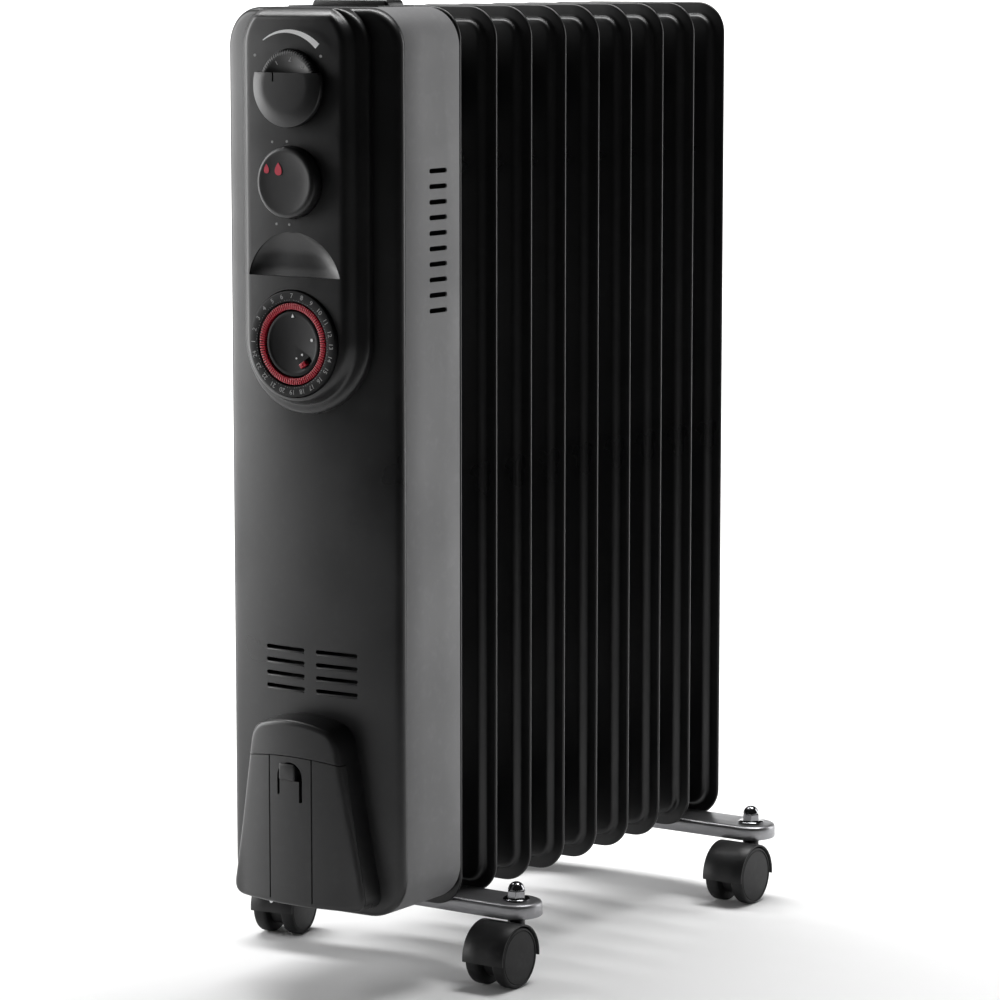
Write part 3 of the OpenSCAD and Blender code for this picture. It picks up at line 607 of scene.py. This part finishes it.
# ------------------------------------------------------------------ cord store door and latch
door = solid("cord_door.moulding", store_block(store_front + 9, store_front))
latch_z = span("door_latch")[2]
slot_top, slot_half = seam - 2.2, 9.8
pad_base = latch_z[0] + 13.0
arch = arc(0, slot_top - slot_half, slot_half, 0, 180, 16)
legs = [(-slot_half, latch_z[0] + 3.4), (-7.9, latch_z[0] + 3.4), (-7.9, pad_base), (7.4, pad_base),
        (7.4, latch_z[0] - 0.6), (slot_half, latch_z[0] - 0.6)]
carve(door, below_seam(-0.3, store_front - 8, store_front + 6.4), keep=True)
grooves = Shape()
for side in (-1, 1):
    outline = [(16.6, store_front - 2.4), (17.7, store_front - 4.6), (17.7, store_front - 8),
               (15.5, store_front - 8), (15.5, store_front - 4.6)]
    grooves.rings([[(side * x, y, z) for x, y in outline]
                   for z in (store_base + 3.2, seam + 6)], start=True, end=True)
carve(door, grooves, prism(arch + legs, store_front - 9, store_front + 1.5))
lugs = Shape()
for side in (-1, 1):
    a, b = sorted((side * 41.6, side * 45.6))
    lugs.add(lump((a, store_front + 4.5, hinge_z - 2.6), (b, hinge_y + 2.6, hinge_z + 2.6),
                  0.7, 3))
    a, b = sorted((side * 44.6, side * 48.2))
    lugs.add(turned([(1.6, a), (2.0, a + 0.4), (2.0, b - 0.4), (1.6, b)],
                    (hinge_y, hinge_z), "x", 32))
edge(door, 0.3, 3)
place(door, housing, "store_door", "cord_door", slot="housing_plastic")
place(solid("cord_door.lugs", lugs), housing, "store_door", slot="housing_plastic")
tongue = Shape()
tongue.add(lump((-7.7, store_front + 1.6, latch_z[0]), (7.7, store_front + 2.6, latch_z[1] + 1.0),
                0.3, 3))
tongue.add(lump((-7.6, store_front - 5.7, pad_base + 0.2), (4.6, store_front + 2.0, slot_top - 1.0),
                1.0, 4))
place(solid("door_latch.tongue", tongue), housing, "latch", "door_latch", slot="housing_plastic")

# ------------------------------------------------------------------ control panel
panel_corner = 24.0


def half_turn(reach, middle, drop, count):
    """Quarter of an ellipse from (reach, middle) down to the centre line."""
    angles = [math.radians(90 * i / count) for i in range(count + 1)]
    return [(reach * math.cos(a), middle - drop * math.sin(a)) for a in angles]


def tongue_half(reach):
    """Right half of a tongue: rounded top corner, straight side and round lower end."""
    corner = min(panel_corner, reach - 0.5)
    upper = arc(reach - corner, house_top - corner, corner, 90, 0, 18)
    middle = [(reach, z) for z in steps(house_top - corner, tongue_z, 40)]
    return upper + middle + half_turn(reach, tongue_z, reach, 28)


def shield_half(inset):
    """Right half of the raised shield, which narrows below its waist like half an ellipse."""
    reach = high_half - 0.6 - inset
    waist, drop = house_top - 55, 76 - inset
    upper = arc(reach - panel_corner, house_top - panel_corner, panel_corner, 90, 0, 18)
    middle = [(reach, z) for z in steps(house_top - panel_corner, waist, 10)]
    return upper + middle + half_turn(reach, waist, drop, 30)


low_steps = [(0.0, 4.2), (-0.3, 2.6), (-1.1, 1.3), (-2.4, 0.4), (-4.0, 0.0), (-5.4, -0.05),
             (-6.2, -0.5), (-6.9, -1.6), (-7.5, -3.4)]
high_steps = [(0.6, 3.4), (-0.2, 1.8), (-1.3, 0.7), (-2.8, 0.12), (-4.4, 0.0)]
tier_profile = [(tier_half + 0.3, shell_front + 2.0), (tier_half, shell_front - 1.0)]
tier_profile += [(tier_half + out, tier_low + back) for out, back in low_steps]
tier_profile += [(high_half + out, tier_high + back) for out, back in high_steps]
panel_shape = Shape()
panel_shape.rings([upright(ring(tongue_half(r), 36), y) for r, y in tier_profile])
for r, y in (tier_profile[0], tier_profile[-1]):
    panel_shape.rows([upright(row, y) for row in fill(tongue_half(r), 36)])
panel = solid("control_panel.tiers", panel_shape.bend(crown), sharp=45)

shield_profile = [(0.0, tier_high + 1.5), (0.0, tier_high - 0.4), (0.25, tier_high - 1.4),
                  (0.9, tier_high - 2.5), (2.0, tier_high - 3.4), (3.6, tier_high - 4.05),
                  (6.0, tier_high - 4.4), (9.0, shield_front)]
shield = solid("control_panel.shield", moulded(shield_half, shield_profile, 36).bend(crown),
               sharp=45)

scoop_z, scoop_height = panel_low + 87.5, 28
scoop_reach, scoop_radius, scoop_depth = 35.5, 36.5, 5.6
scoop_rows = []
for i in range(25):
    z = scoop_z + scoop_height * math.cos(math.pi / 2 * i / 24)
    rise = z - scoop_z - scoop_height + scoop_radius
    reach = min(scoop_reach, math.sqrt(max(0.0, scoop_radius**2 - rise**2)))
    # The floor falls away quickly from the arch and comes back a little at the bottom.
    fall = (scoop_z + scoop_height - z) / scoop_height
    deep = math.sin(min(1.0, fall / 0.55) * math.pi / 2)
    deep -= 0.4 * max(0.0, (fall - 0.78) / 0.22) ** 1.2
    row = []
    for k in range(33):
        u = math.sin((2 * k / 32 - 1) * math.pi / 2)
        depth = scoop_depth * (1 - 0.78 * u**4) * max(0.06, deep)
        row.append((reach * u, tier_high + depth, z))
    scoop_rows.append(row)
scoop = Shape().rows(scoop_rows)
front_rows = [[(x, tier_high - 8, z) for x, y, z in row] for row in scoop_rows]
scoop.rows(front_rows)
border = ([row[-1] for row in scoop_rows] + list(reversed(scoop_rows[-1]))[1:]
          + [row[0] for row in reversed(scoop_rows)][1:] + scoop_rows[0][1:-1])
scoop.rings([border, [(x, tier_high - 8, z) for x, y, z in border]])

well = 23.0
bores = Shape()
for z in (dial_z, knob_z):
    bores.add(turned([(well, shield_front - 6), (well, tier_high + 2)], (0, z), "y", 96))
ring_hole = turned([(34.2, tier_high - 6), (34.2, tier_high + 8)], (0, timer_z), "y", 128)
carve(panel, scoop.bend(bow), ring_hole, bores, sharp=45)
carve(shield, bores, sharp=45)
edge(panel, 0.35, 3, 50)
edge(shield, 0.3, 3, 50)
place(panel, housing, "heater", "control_panel", slot="housing_plastic")
place(shield, housing, "heater", slot="housing_plastic")

# ------------------------------------------------------------------ thermostat, cover and selector
cover = solid("dial_cover.cap", turned(
    [(26.0, shield_front + 2.4), (26.0, shield_front - 0.5), (25.7, shield_front - 1.0),
     (24.9, shield_front - 1.4), (19.0, shield_front - 2.6), (17.4, shield_front - 2.85),
     (15.5, shield_front - 2.95), (8.0, shield_front - 3.0), (0.0, shield_front - 3.0)],
    (0, dial_z), "y", 128))
chord = dial_z + 8
below_chord = lump((-40, shield_front - 20, dial_z - 40), (40, shield_front + 20, chord), 0)
carve(cover, below_chord, keep=True)
notch = lump((-9.5, shield_front - 6, chord - 5.5), (-8.3, shield_front - 1.9, chord + 2), 0)
carve(cover, notch)
edge(cover, 0.3, 3, 50)
place(cover, housing, "heater", "dial_cover", slot="housing_plastic")

dial_y = span("thermostat_dial")[1]


def knurl(count, depth, inside=21):
    """Ridges on the rim of a turned piece; what lies inside the given radius stays round."""
    return lambda a, r, y: -depth * (0.5 - 0.5 * math.cos(count * a)) ** 3 if r > inside else 0.0


def radius_of(node):
    """Radius of a round CAD node that faces the front."""
    low, high = span(node)[0]
    return (high - low) / 2


dial_radius = radius_of("thermostat_dial")
dial = solid("thermostat_dial.knurled", turned(
    [(3.0, dial_y[1]), (3.0, tier_high + 1.6), (dial_radius - 0.2, tier_high + 1.5),
     (dial_radius, tier_high + 1.2), (dial_radius, dial_y[0] + 1.0),
     (dial_radius - 0.3, dial_y[0] + 0.4), (dial_radius - 1.1, dial_y[0]), (18.0, dial_y[0]),
     (17.6, dial_y[0] + 0.25), (0.0, dial_y[0] + 0.25)],
    (0, dial_z), "y", 432, knurl(72, 0.9)), sharp=50)
place(dial, control, "dial", "thermostat_dial", slot="control_plastic")

knob_y = span("selector_knob")[1]
knob_radius = radius_of("selector_knob")
knob = solid("selector_knob.cap", turned(
    [(3.0, knob_y[1]), (3.0, tier_high + 1.6), (knob_radius - 0.3, tier_high + 1.5),
     (knob_radius, tier_high + 1.0), (knob_radius, knob_y[0] + 2.6),
     (knob_radius - 0.25, knob_y[0] + 1.5), (knob_radius - 0.9, knob_y[0] + 0.6),
     (knob_radius - 1.9, knob_y[0] + 0.1), (knob_radius - 3.0, knob_y[0]),
     (knob_radius - 4.0, knob_y[0] + 0.15), (12.0, knob_y[0] + 0.5), (0.0, knob_y[0] + 0.6)],
    (0, knob_z), "y", 128), sharp=50)
place(knob, control, "selector", "selector_knob", slot="control_plastic")


def print_on(name, shape, ink, body, rule=None):
    """Thin raised print that rides on a body."""
    if rule:
        shape.bend(rule)
    return place(solid(name, shape), ink, body)


print_lift = 0.08
ink_y = shield_front - print_lift
scale_radius, scale_start, scale_sweep = 33.6, 124, 77
inner_edge, outer_edge = [], []
for i in range(41):
    t = i / 40
    a = math.radians(scale_start - scale_sweep * t)
    thick = 0.4 + 3.4 * t**0.9
    for points, radius in ((inner_edge, scale_radius - thick / 2),
                           (outer_edge, scale_radius + thick / 2)):
        points.append((radius * math.cos(a), dial_z + radius * math.sin(a)))
strip = Shape()
strip.rows([upright(inner_edge, ink_y), upright(outer_edge, ink_y)])
strip.rows([upright(outer_edge, ink_y + 0.6), upright(inner_edge, ink_y + 0.6)])
rim = inner_edge + list(reversed(outer_edge))
strip.rings([upright(rim, ink_y), upright(rim, ink_y + 0.6)])


def on_shield(x, y, z):
    """Follows the rounded edge of the shield."""
    out = abs(x) - (high_half - 9.6)
    drop = 0.6 * max(0.0, out / 6) ** 2
    x, y, z = crown(x, y + drop, z)
    return x, y - (print_lift if z > house_top - crown_radius else 0.0), z


print_on("print.heat_scale", strip, white_ink, "heater", on_shield)
dots = Shape()
for x, z, radius in ((-25.5, dial_z + 18.5, 0.9), (25.5, dial_z + 18.5, 0.9),
                     (-12, knob_z + 25, 0.8), (-0.5, knob_z + 25.5, 0.8),
                     (-9, knob_z - 26, 0.8), (1, knob_z - 26, 0.8)):
    dots.add(turned([(radius, ink_y), (radius, ink_y + 0.5)], (x, z), "y", 24))
print_on("print.dots", dots, grey_ink, "heater", on_shield)


def letters(text, size):
    """Mesh of plain characters, centred, in millimetres; returns points and faces."""
    curve = bpy.data.curves.new("glyph", "FONT")
    curve.body = text
    curve.size = size
    curve.align_x = "CENTER"
    curve.align_y = "CENTER"
    curve.resolution_u = 3
    curve.extrude = 0.05
    holder = bpy.data.objects.new("glyph", curve)
    bpy.context.scene.collection.objects.link(holder)
    view = bpy.context.evaluated_depsgraph_get()
    mesh = bpy.data.meshes.new_from_object(holder.evaluated_get(view))
    shape = Shape()
    shape.points = [tuple(v.co) for v in mesh.vertices]
    shape.faces = [tuple(p.vertices) for p in mesh.polygons]
    bpy.data.objects.remove(holder)
    bpy.data.meshes.remove(mesh)
    bpy.data.curves.remove(curve)
    return shape


def set_text(text, size, x, z, y, turn=0.0):
    """Characters standing on the front, turned clockwise by turn degrees about (x, z)."""
    shape = letters(text, size)
    c, s = math.cos(math.radians(turn)), math.sin(math.radians(turn))
    shape.points = [(x + u * c + v * s, y - w, z - u * s + v * c) for u, v, w in shape.points]
    return shape


def polar_text(text, size, radius, turn, cz, y):
    """Characters on a circle, turn degrees clockwise from its top."""
    a = math.radians(turn)
    return set_text(text, size, radius * math.sin(a), cz + radius * math.cos(a), y, turn)


dial_marks = Shape()
for n in range(6):
    dial_marks.add(polar_text(str(n + 1), 5.0, 16.5, -32 + n * 38, dial_z, dial_y[0] + 0.2))
print_on("print.dial_figures", dial_marks, grey_ink, "dial")
flames = Shape()
for x, wide, tall in ((-14.0, 4.2, 6.0), (-4.8, 5.8, 8.0)):
    drop = []
    for i in range(28):
        t = math.tau * i / 28
        drop.append((x + wide * 0.6 * math.sin(t) * math.sin(t / 2),
                     knob_z + 8.5 + tall / 2 * math.cos(t)))
    flames.add(prism(drop, knob_y[0] + 0.12, knob_y[0] + 0.8))
print_on("print.power_marks", flames, red_ink, "selector")

# ------------------------------------------------------------------ timer
ring_y = span("timer_dial")[1]
timer_ring = solid("timer_dial.ring", turned(
    [(20.88, ring_y[1] - 5), (20.88, tier_high + 5.0), (26.6, tier_high + 5.0),
     (26.6, ring_y[0] + 0.5),
     (26.9, ring_y[0] + 0.1), (27.4, ring_y[0]), (32.4, ring_y[0]), (33.2, ring_y[0] + 0.25),
     (33.6, ring_y[0] + 1.0), (33.6, tier_high + 7.0), (24.8, tier_high + 7.0), (24.8, ring_y[1]),
     (20.88, ring_y[1])], (0, timer_z), "y", 192), sharp=40)
place(timer_ring, timer_black, "timer_ring", "timer_dial", slot="control_plastic")
quarters, hours, top_hour = 96, 24, 7
fingers = Shape()
for i in range(quarters):
    a = math.tau * i / quarters
    finger = lump((21.7, 0, -0.52), (25.7, 5.2, 0.52), 0.22, 2)
    c, s = math.cos(a), math.sin(a)
    finger.points = [(u * c - w * s, ring_y[0] + 0.35 + v, timer_z + u * s + w * c)
                     for u, v, w in finger.points]
    fingers.add(finger)
place(solid("timer_tappets.fingers", fingers), red, "timer_ring", "timer_tappets",
      slot="red_plastic")
figures = Shape()
for i in range(hours):
    hour = (i + top_hour) % hours or hours
    figures.add(polar_text(str(hour), 4.3, 30.2, i * 360 / hours, timer_z, ring_y[0] - 0.02))
tick_base, tick_length = 27.3, 0.495
for i in range(quarters):
    if i % 4:
        a = math.tau * i / quarters
        c, s = math.cos(a), math.sin(a)
        tick = lump((-0.12, ring_y[0] - 0.06, tick_base),
                    (0.12, ring_y[0] + 0.2, tick_base + tick_length), 0)
        tick.points = [(x * c + z * s, y, timer_z + z * c - x * s) for x, y, z in tick.points]
        figures.add(tick)
print_on("print.hours", figures, grey_ink, "timer_ring")
centre_y = span("timer_centre")[1]
centre = solid("timer_centre.disc", turned(
    [(20.7, centre_y[1]), (20.7, centre_y[0] + 1.0), (20.5, centre_y[0] + 0.5),
     (19.9, centre_y[0] + 0.12), (18.5, centre_y[0]), (17.8, centre_y[0] + 0.3),
     (17.2, centre_y[0] + 0.55), (0, centre_y[0] + 0.35)],
    (0, timer_z), "y", 128), sharp=40)
slide_x, slide_z, slide_turn = 8.3, timer_z - 12.5, -33.6


def along_slide(u, y, w):
    """Lays a shape along the override's slanting slot."""
    c, s = math.cos(math.radians(slide_turn)), math.sin(math.radians(slide_turn))
    return slide_x + u * c + w * s, y, slide_z - u * s + w * c


pocket = lump((-2.9, centre_y[0] - 3, -1.9), (6.5, centre_y[0] + 3.0, 1.9), 0).bend(along_slide)
carve(centre, pocket)
edge(centre, 0.2, 2, 50)
place(centre, timer_black, "heater", "timer_centre", slot="control_plastic")
slider = lump((-2.5, centre_y[0] - 1.4, -1.5), (2.5, centre_y[0] + 2.6, 1.5), 0.5, 4)
slider.add(lump((-0.5, centre_y[0] - 1.7, -1.2), (0.5, centre_y[0] - 1.0, 1.2), 0.2, 2))
place(solid("timer_override.slider", slider.bend(along_slide)), red, "override_slider",
      "timer_override", slot="red_plastic")
marks = Shape()
marks.add(prism([(-1.0, timer_z + 16.6), (1.0, timer_z + 16.6), (0.0, timer_z + 19.0)],
                centre_y[0] - 0.08, centre_y[0] + 0.6))
for x, z, r in ((14.5, 3.0, 1.0), (2.5, -9.0, 0.55), (7.0, -6.5, 0.7)):
    marks.add(turned([(r, centre_y[0] + 0.25), (r, centre_y[0] + 1.0)], (x, timer_z + z), "y", 20))
print_on("print.timer_marks", marks, white_ink, "heater")

# ------------------------------------------------------------------ carry handle
grip_x, grip_y, grip_z = span("carry_handle")
grip = Shape()
grip.add(lump((grip_x[0], grip_y[0] + 3, grip_z[0]), (grip_x[1], grip_y[1], house_top - 0.2),
              1.4, 4))
bar = lump((-30, grip_y[0], house_top - 2), (30, grip_y[1], grip_z[1]), 2.0, 5)
taper, bar_rise = 0.05, 4.5
grip.add(bar.bend(lambda x, y, z: (x * (1 - taper * max(0.0, (z - house_top) / bar_rise)), y, z)))
place(solid("carry_handle.grip", grip), housing, "heater", "carry_handle", slot="housing_plastic")


# ------------------------------------------------------------------ feet
def stadium(reach, radius, columns=14):
    """Strip with two round ends about the origin."""
    right_end = arc(reach, 0, radius, -90, 90, columns)
    left_end = arc(-reach, 0, radius, 90, 270, columns)
    return right_end + left_end


corners = ("front_right", "front_left", "rear_right", "rear_left")
stem_radius = 5
stems_y = span("castor_stems")[1]
stem_rows = {"front": stems_y[0] + stem_radius, "rear": stems_y[1] - stem_radius}
stem_x = {}
for joint in frame["record"]["behaviour"]["joints"]:
    corner = joint["name"].removeprefix("swivel_")
    if corner in corners:
        stem_x[corner] = round(joint["pos_m"][0] / MM, 6)
castor_x = (stem_x["front_right"] - stem_x["front_left"]) / 2
# Each bracket's bolt holes lie to one side of its middle.
bracket_middles = [((stem_x[f"{end}_left"] + stem_x[f"{end}_right"]) / 2, y)
                   for end, y in stem_rows.items()]
bracket_radius = 17
low, top = span("foot_brackets")[2]
brackets = Shape()
for mid, y in bracket_middles:
    pan = [(1.6, low + 0.3), (1.2, low), (0.4, low), (0.0, low + 0.5), (0.0, top - 2.6),
           (0.25, top - 1.4), (0.9, top - 0.6), (2.0, top - 0.12), (3.2, top)]
    inside = [(3.4, top - 1.6), (2.2, top - 2.2), (1.6, top - 3.4)]
    rings, under = [[[(mid + px, y + py, z) for px, py in stadium(castor_x, bracket_radius - d)]
                     for d, z in profile] for profile in (pan, inside)]
    brackets.rings(rings, end=True)
    brackets.rings(under + [rings[0]], start=True)
foot = solid("foot_brackets.pressing", brackets, sharp=50)
holes = Shape()
bolt_x, bolt_hole = 29.5, 3.4
for _, y in bracket_middles:
    for x in (-bolt_x, bolt_x):
        holes.add(turned([(bolt_hole, top - 8), (bolt_hole, top + 4)], (x, y), "z", 32))
carve(foot, holes, sharp=50)
place(foot, pressed, "heater", "foot_brackets", slot="bracket_steel")

nuts = Shape()
nut_top = span("dome_nuts")[2][1]
flange = [(8.2, 0.0), (8.8, 0.35), (8.8, 1.1), (8.3, 1.6), (6.4, 1.8)]
hexagon = [(6.3, 1.4), (6.3, 6.2), (5.6, 6.9)]
dome_base, dome_radius = 6.6, 5.5
dome_rise = nut_top - top - dome_base
dome = [(dome_radius * math.cos(math.radians(a)), dome_base + dome_rise * math.sin(math.radians(a)))
        for a in range(0, 91, 9)]
for mid, y in bracket_middles:
    for x in (mid - castor_x, mid + castor_x):
        for profile, count in ((flange, 64), (hexagon, 6), (dome, 64)):
            nuts.add(turned([(radius, top + rise) for radius, rise in profile], (x, y), "z", count))
nut = solid("dome_nuts.chrome", nuts, sharp=40)
edge(nut, 0.25, 2, 50)
place(nut, chrome, "heater", "dome_nuts", slot="nut_chrome")

# Castors are drawn with the stem at the origin and the wheels towards -Y, then set in place.
front_left_turn = 190.0
trail, axle_z, wheel_radius = 18.0, 20.0, 20.0


def at_stem(corner):
    """Turns and moves a castor from its own frame to its corner."""
    x0, y0 = stem_x[corner], stem_rows[corner.split("_")[0]]
    a = math.radians(front_left_turn if corner == "front_left" else 0.0)
    c, s = math.cos(a), math.sin(a)
    return lambda x, y, z: (x0 + x * c - y * s, y0 + x * s + y * c, z)


def hood_shape():
    """Arched mudguard over both wheels, with a middle web, an axle boss and a stem socket."""
    section = [(-15.6, 21.6), (-15.2, 22.0), (-5, 22.0), (5, 22.0), (15.2, 22.0), (15.6, 21.6),
               (15.6, 21.0), (15.2, 20.6), (5, 20.6), (-5, 20.6), (-15.2, 20.6), (-15.6, 21.0)]
    sections = []
    for i in range(41):
        a = math.radians(-5 + 190 * i / 40)
        sections.append([(x, -trail - r * math.cos(a), axle_z + r * math.sin(a))
                         for x, r in section])
    shape = Shape().rings(sections, start=True, end=True)
    shape.add(turned([(13.6, -5.0), (14.2, -4.6), (14.2, 4.6), (13.6, 5.0)],
                     (-trail, axle_z), "x", 48))
    fan = arc(-trail, axle_z, 21.2, -5, 185, 30)
    shape.rings([[(x, y, z) for y, z in fan] for x in (-4.4, 4.4)], start=True, end=True)
    shape.add(turned([(5.0, axle_z + 14), (5.6, axle_z + 15), (5.6, 40.9), (5.0, 41.5)],
                     (0, 0), "z", 40))
    return shape


def wheel_shape(inner, outer):
    """Wheel with rounded tread and a dished outer face; inner and outer are X planes."""
    way = 1 if outer > inner else -1
    near = [(5.0, 0.0), (17.6, 0.0), (19.2, 0.5), (19.8, 1.4), (wheel_radius, 2.6)]
    far = [(wheel_radius, -2.4), (19.8, -1.2), (19.3, -0.4), (18.7, -0.1), (18.2, -0.1),
           (17.9, -0.7), (17.4, -0.75), (17.0, -0.35), (12.0, 0.05), (5.0, 0.15), (0.0, 0.2)]
    profile = [(r, inner + way * along) for r, along in near]
    profile += [(r, outer + way * along) for r, along in far]
    return turned(profile, (-trail, axle_z), "x", 96)


wheel_inner, wheel_outer = 5.5, 15.0
for corner in corners:
    rule = at_stem(corner)
    place(solid(f"hood_{corner}.mudguard", hood_shape().bend(rule), sharp=45), castor,
          f"castor_{corner}", f"hood_{corner}", slot="castor_plastic")
    short = "".join(word[0] for word in corner.split("_"))
    # The front left castor is turned round, so only the rear left one has its outer wheel at -X.
    outward = -1 if corner == "rear_left" else 1
    for end, sign in (("outer", outward), ("inner", -outward)):
        tyre = wheel_shape(sign * wheel_inner, sign * wheel_outer).bend(rule)
        place(solid(f"wheel_{short}_{end}.nylon", tyre, sharp=40), wheel, f"roll_{corner}_{end}",
              f"wheel_{short}_{end}", slot="wheel_plastic")

# ------------------------------------------------------------------ pieces shown as in the CAD
# node: (material, edge rounding in millimetres)
kept = {
    "header_rings": (enamel_black, 0.4), "oil_filler_plug": (zinc, 0.4),
    "heating_element": (zinc, 0.2), "element_flange": (brass, 0.4),
    "rear_plate": (plate_paint, 0.3), "thermostat": (cream, 0.5), "selector_switch": (cream, 0.5),
    "timer_motor": (cream, 0.5), "timer_pinion": (cream, 0.12), "thermal_cutout": (zinc, 0.4),
    "tip_over_switch": (cream, 0.5), "terminal_block": (cream, 0.5),
    "wiring": (insulation, 0.0), "cord_gland": (rubber, 0.4), "cord_bin": (housing, 0.5),
    "handle_tray": (housing, 0.6), "u_bolts": (zinc, 0.2), "wing_nuts": (zinc, 0.35),
    "housing_screws": (enamel_black, 0.4), "castor_stems": (zinc, 0.4)}
for corner in corners:
    kept[f"axle_{corner}"] = (zinc, 0.3)
for node, (finish, bevel) in kept.items():
    piece = frame["nodes"][node]
    piece.data.materials.clear()
    piece.data.materials.append(finish)
    if bevel:
        edge(piece, bevel, 2, 40)


# ------------------------------------------------------------------ studio
def stage_material(name, colour, rough):
    """Plain paper with a faint grain."""
    mat = bpy.data.materials.new(name)
    mat.use_nodes = True
    nodes, links = mat.node_tree.nodes, mat.node_tree.links
    shader = nodes["Principled BSDF"]
    shader.inputs["Roughness"].default_value = rough
    shader.inputs["Base Color"].default_value = (*colour, 1)
    grain = nodes.new("ShaderNodeTexNoise")
    grain.inputs["Scale"].default_value = 6.0
    relief = nodes.new("ShaderNodeBump")
    relief.inputs["Strength"].default_value = 0.02
    links.new(grain.outputs["Fac"], relief.inputs["Height"])
    links.new(relief.outputs["Normal"], shader.inputs["Normal"])
    return mat


# Floor that curves up behind the heater, low enough that the top of the housing misses it.
sweep_start, sweep_radius = 1800, 1500
spine = [(-800, 0), (-300, 0), (300, 0), (900, 0), (1500, 0)]
for i in range(12):
    a = math.radians(6 * i)
    spine.append((sweep_start + sweep_radius * math.sin(a), sweep_radius * (1 - math.cos(a))))
rows = [[(-7000 + 1000 * k, y, z) for k in range(15)] for y, z in spine]
floor = solid("backdrop", Shape().rows(rows), sharp=80)
floor.data.materials.append(stage_material("paper", (0.86, 0.86, 0.86), 0.9))
floor.rotation_euler.z = math.radians(34)
floor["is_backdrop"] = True


def soft_box(name, where, towards, width, height, power):
    """Rectangular area light aimed at a point; metres and watts."""
    lamp = bpy.data.lights.new(name, "AREA")
    lamp.shape = "RECTANGLE"
    lamp.size, lamp.size_y = width, height
    lamp.energy = power
    holder = bpy.data.objects.new(name, lamp)
    holder.location = where
    holder.rotation_euler = (Vector(towards) - Vector(where)).to_track_quat("-Z", "Y").to_euler()
    bpy.context.scene.collection.objects.link(holder)


soft_box("left_box", (-1.9, -0.86, 0.75), (0.0, -0.15, 0.35), 1.15, 1.9, 46)
soft_box("right_box", (1.3, 1.9, 0.75), (0.07, -0.1, 0.3), 0.9, 1.6, 20)
soft_box("top_box", (0.0, 0.5, 2.6), (0.0, 0.1, 0.3), 1.6, 1.6, 4)
soft_box("backdrop_light", (-0.8, 0.8, 3.4), (-1.2, 3.0, 0.6), 4.0, 1.6, 300)

world = bpy.data.worlds.new("studio")
bpy.context.scene.world = world
world.use_nodes = True
surroundings = world.node_tree.nodes["Background"]
surroundings.inputs["Color"].default_value = (1, 1, 1, 1)
surroundings.inputs["Strength"].default_value = 0.025
bpy.context.scene.view_settings.view_transform = "Standard"

# ------------------------------------------------------------------ camera, solved from the photo
lens = bpy.data.cameras.new("camera")
lens.lens = 141.0
lens.sensor_width = 36.0
camera = bpy.data.objects.new("camera", lens)
bpy.context.scene.collection.objects.link(camera)
camera.location = (1.473, -2.1625, 0.658)
yaw, tilt = math.radians(33.99), math.radians(7.87)
camera.rotation_euler = (math.pi / 2 - tilt, 0.0, yaw)
bpy.context.scene.camera = camera

low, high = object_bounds()
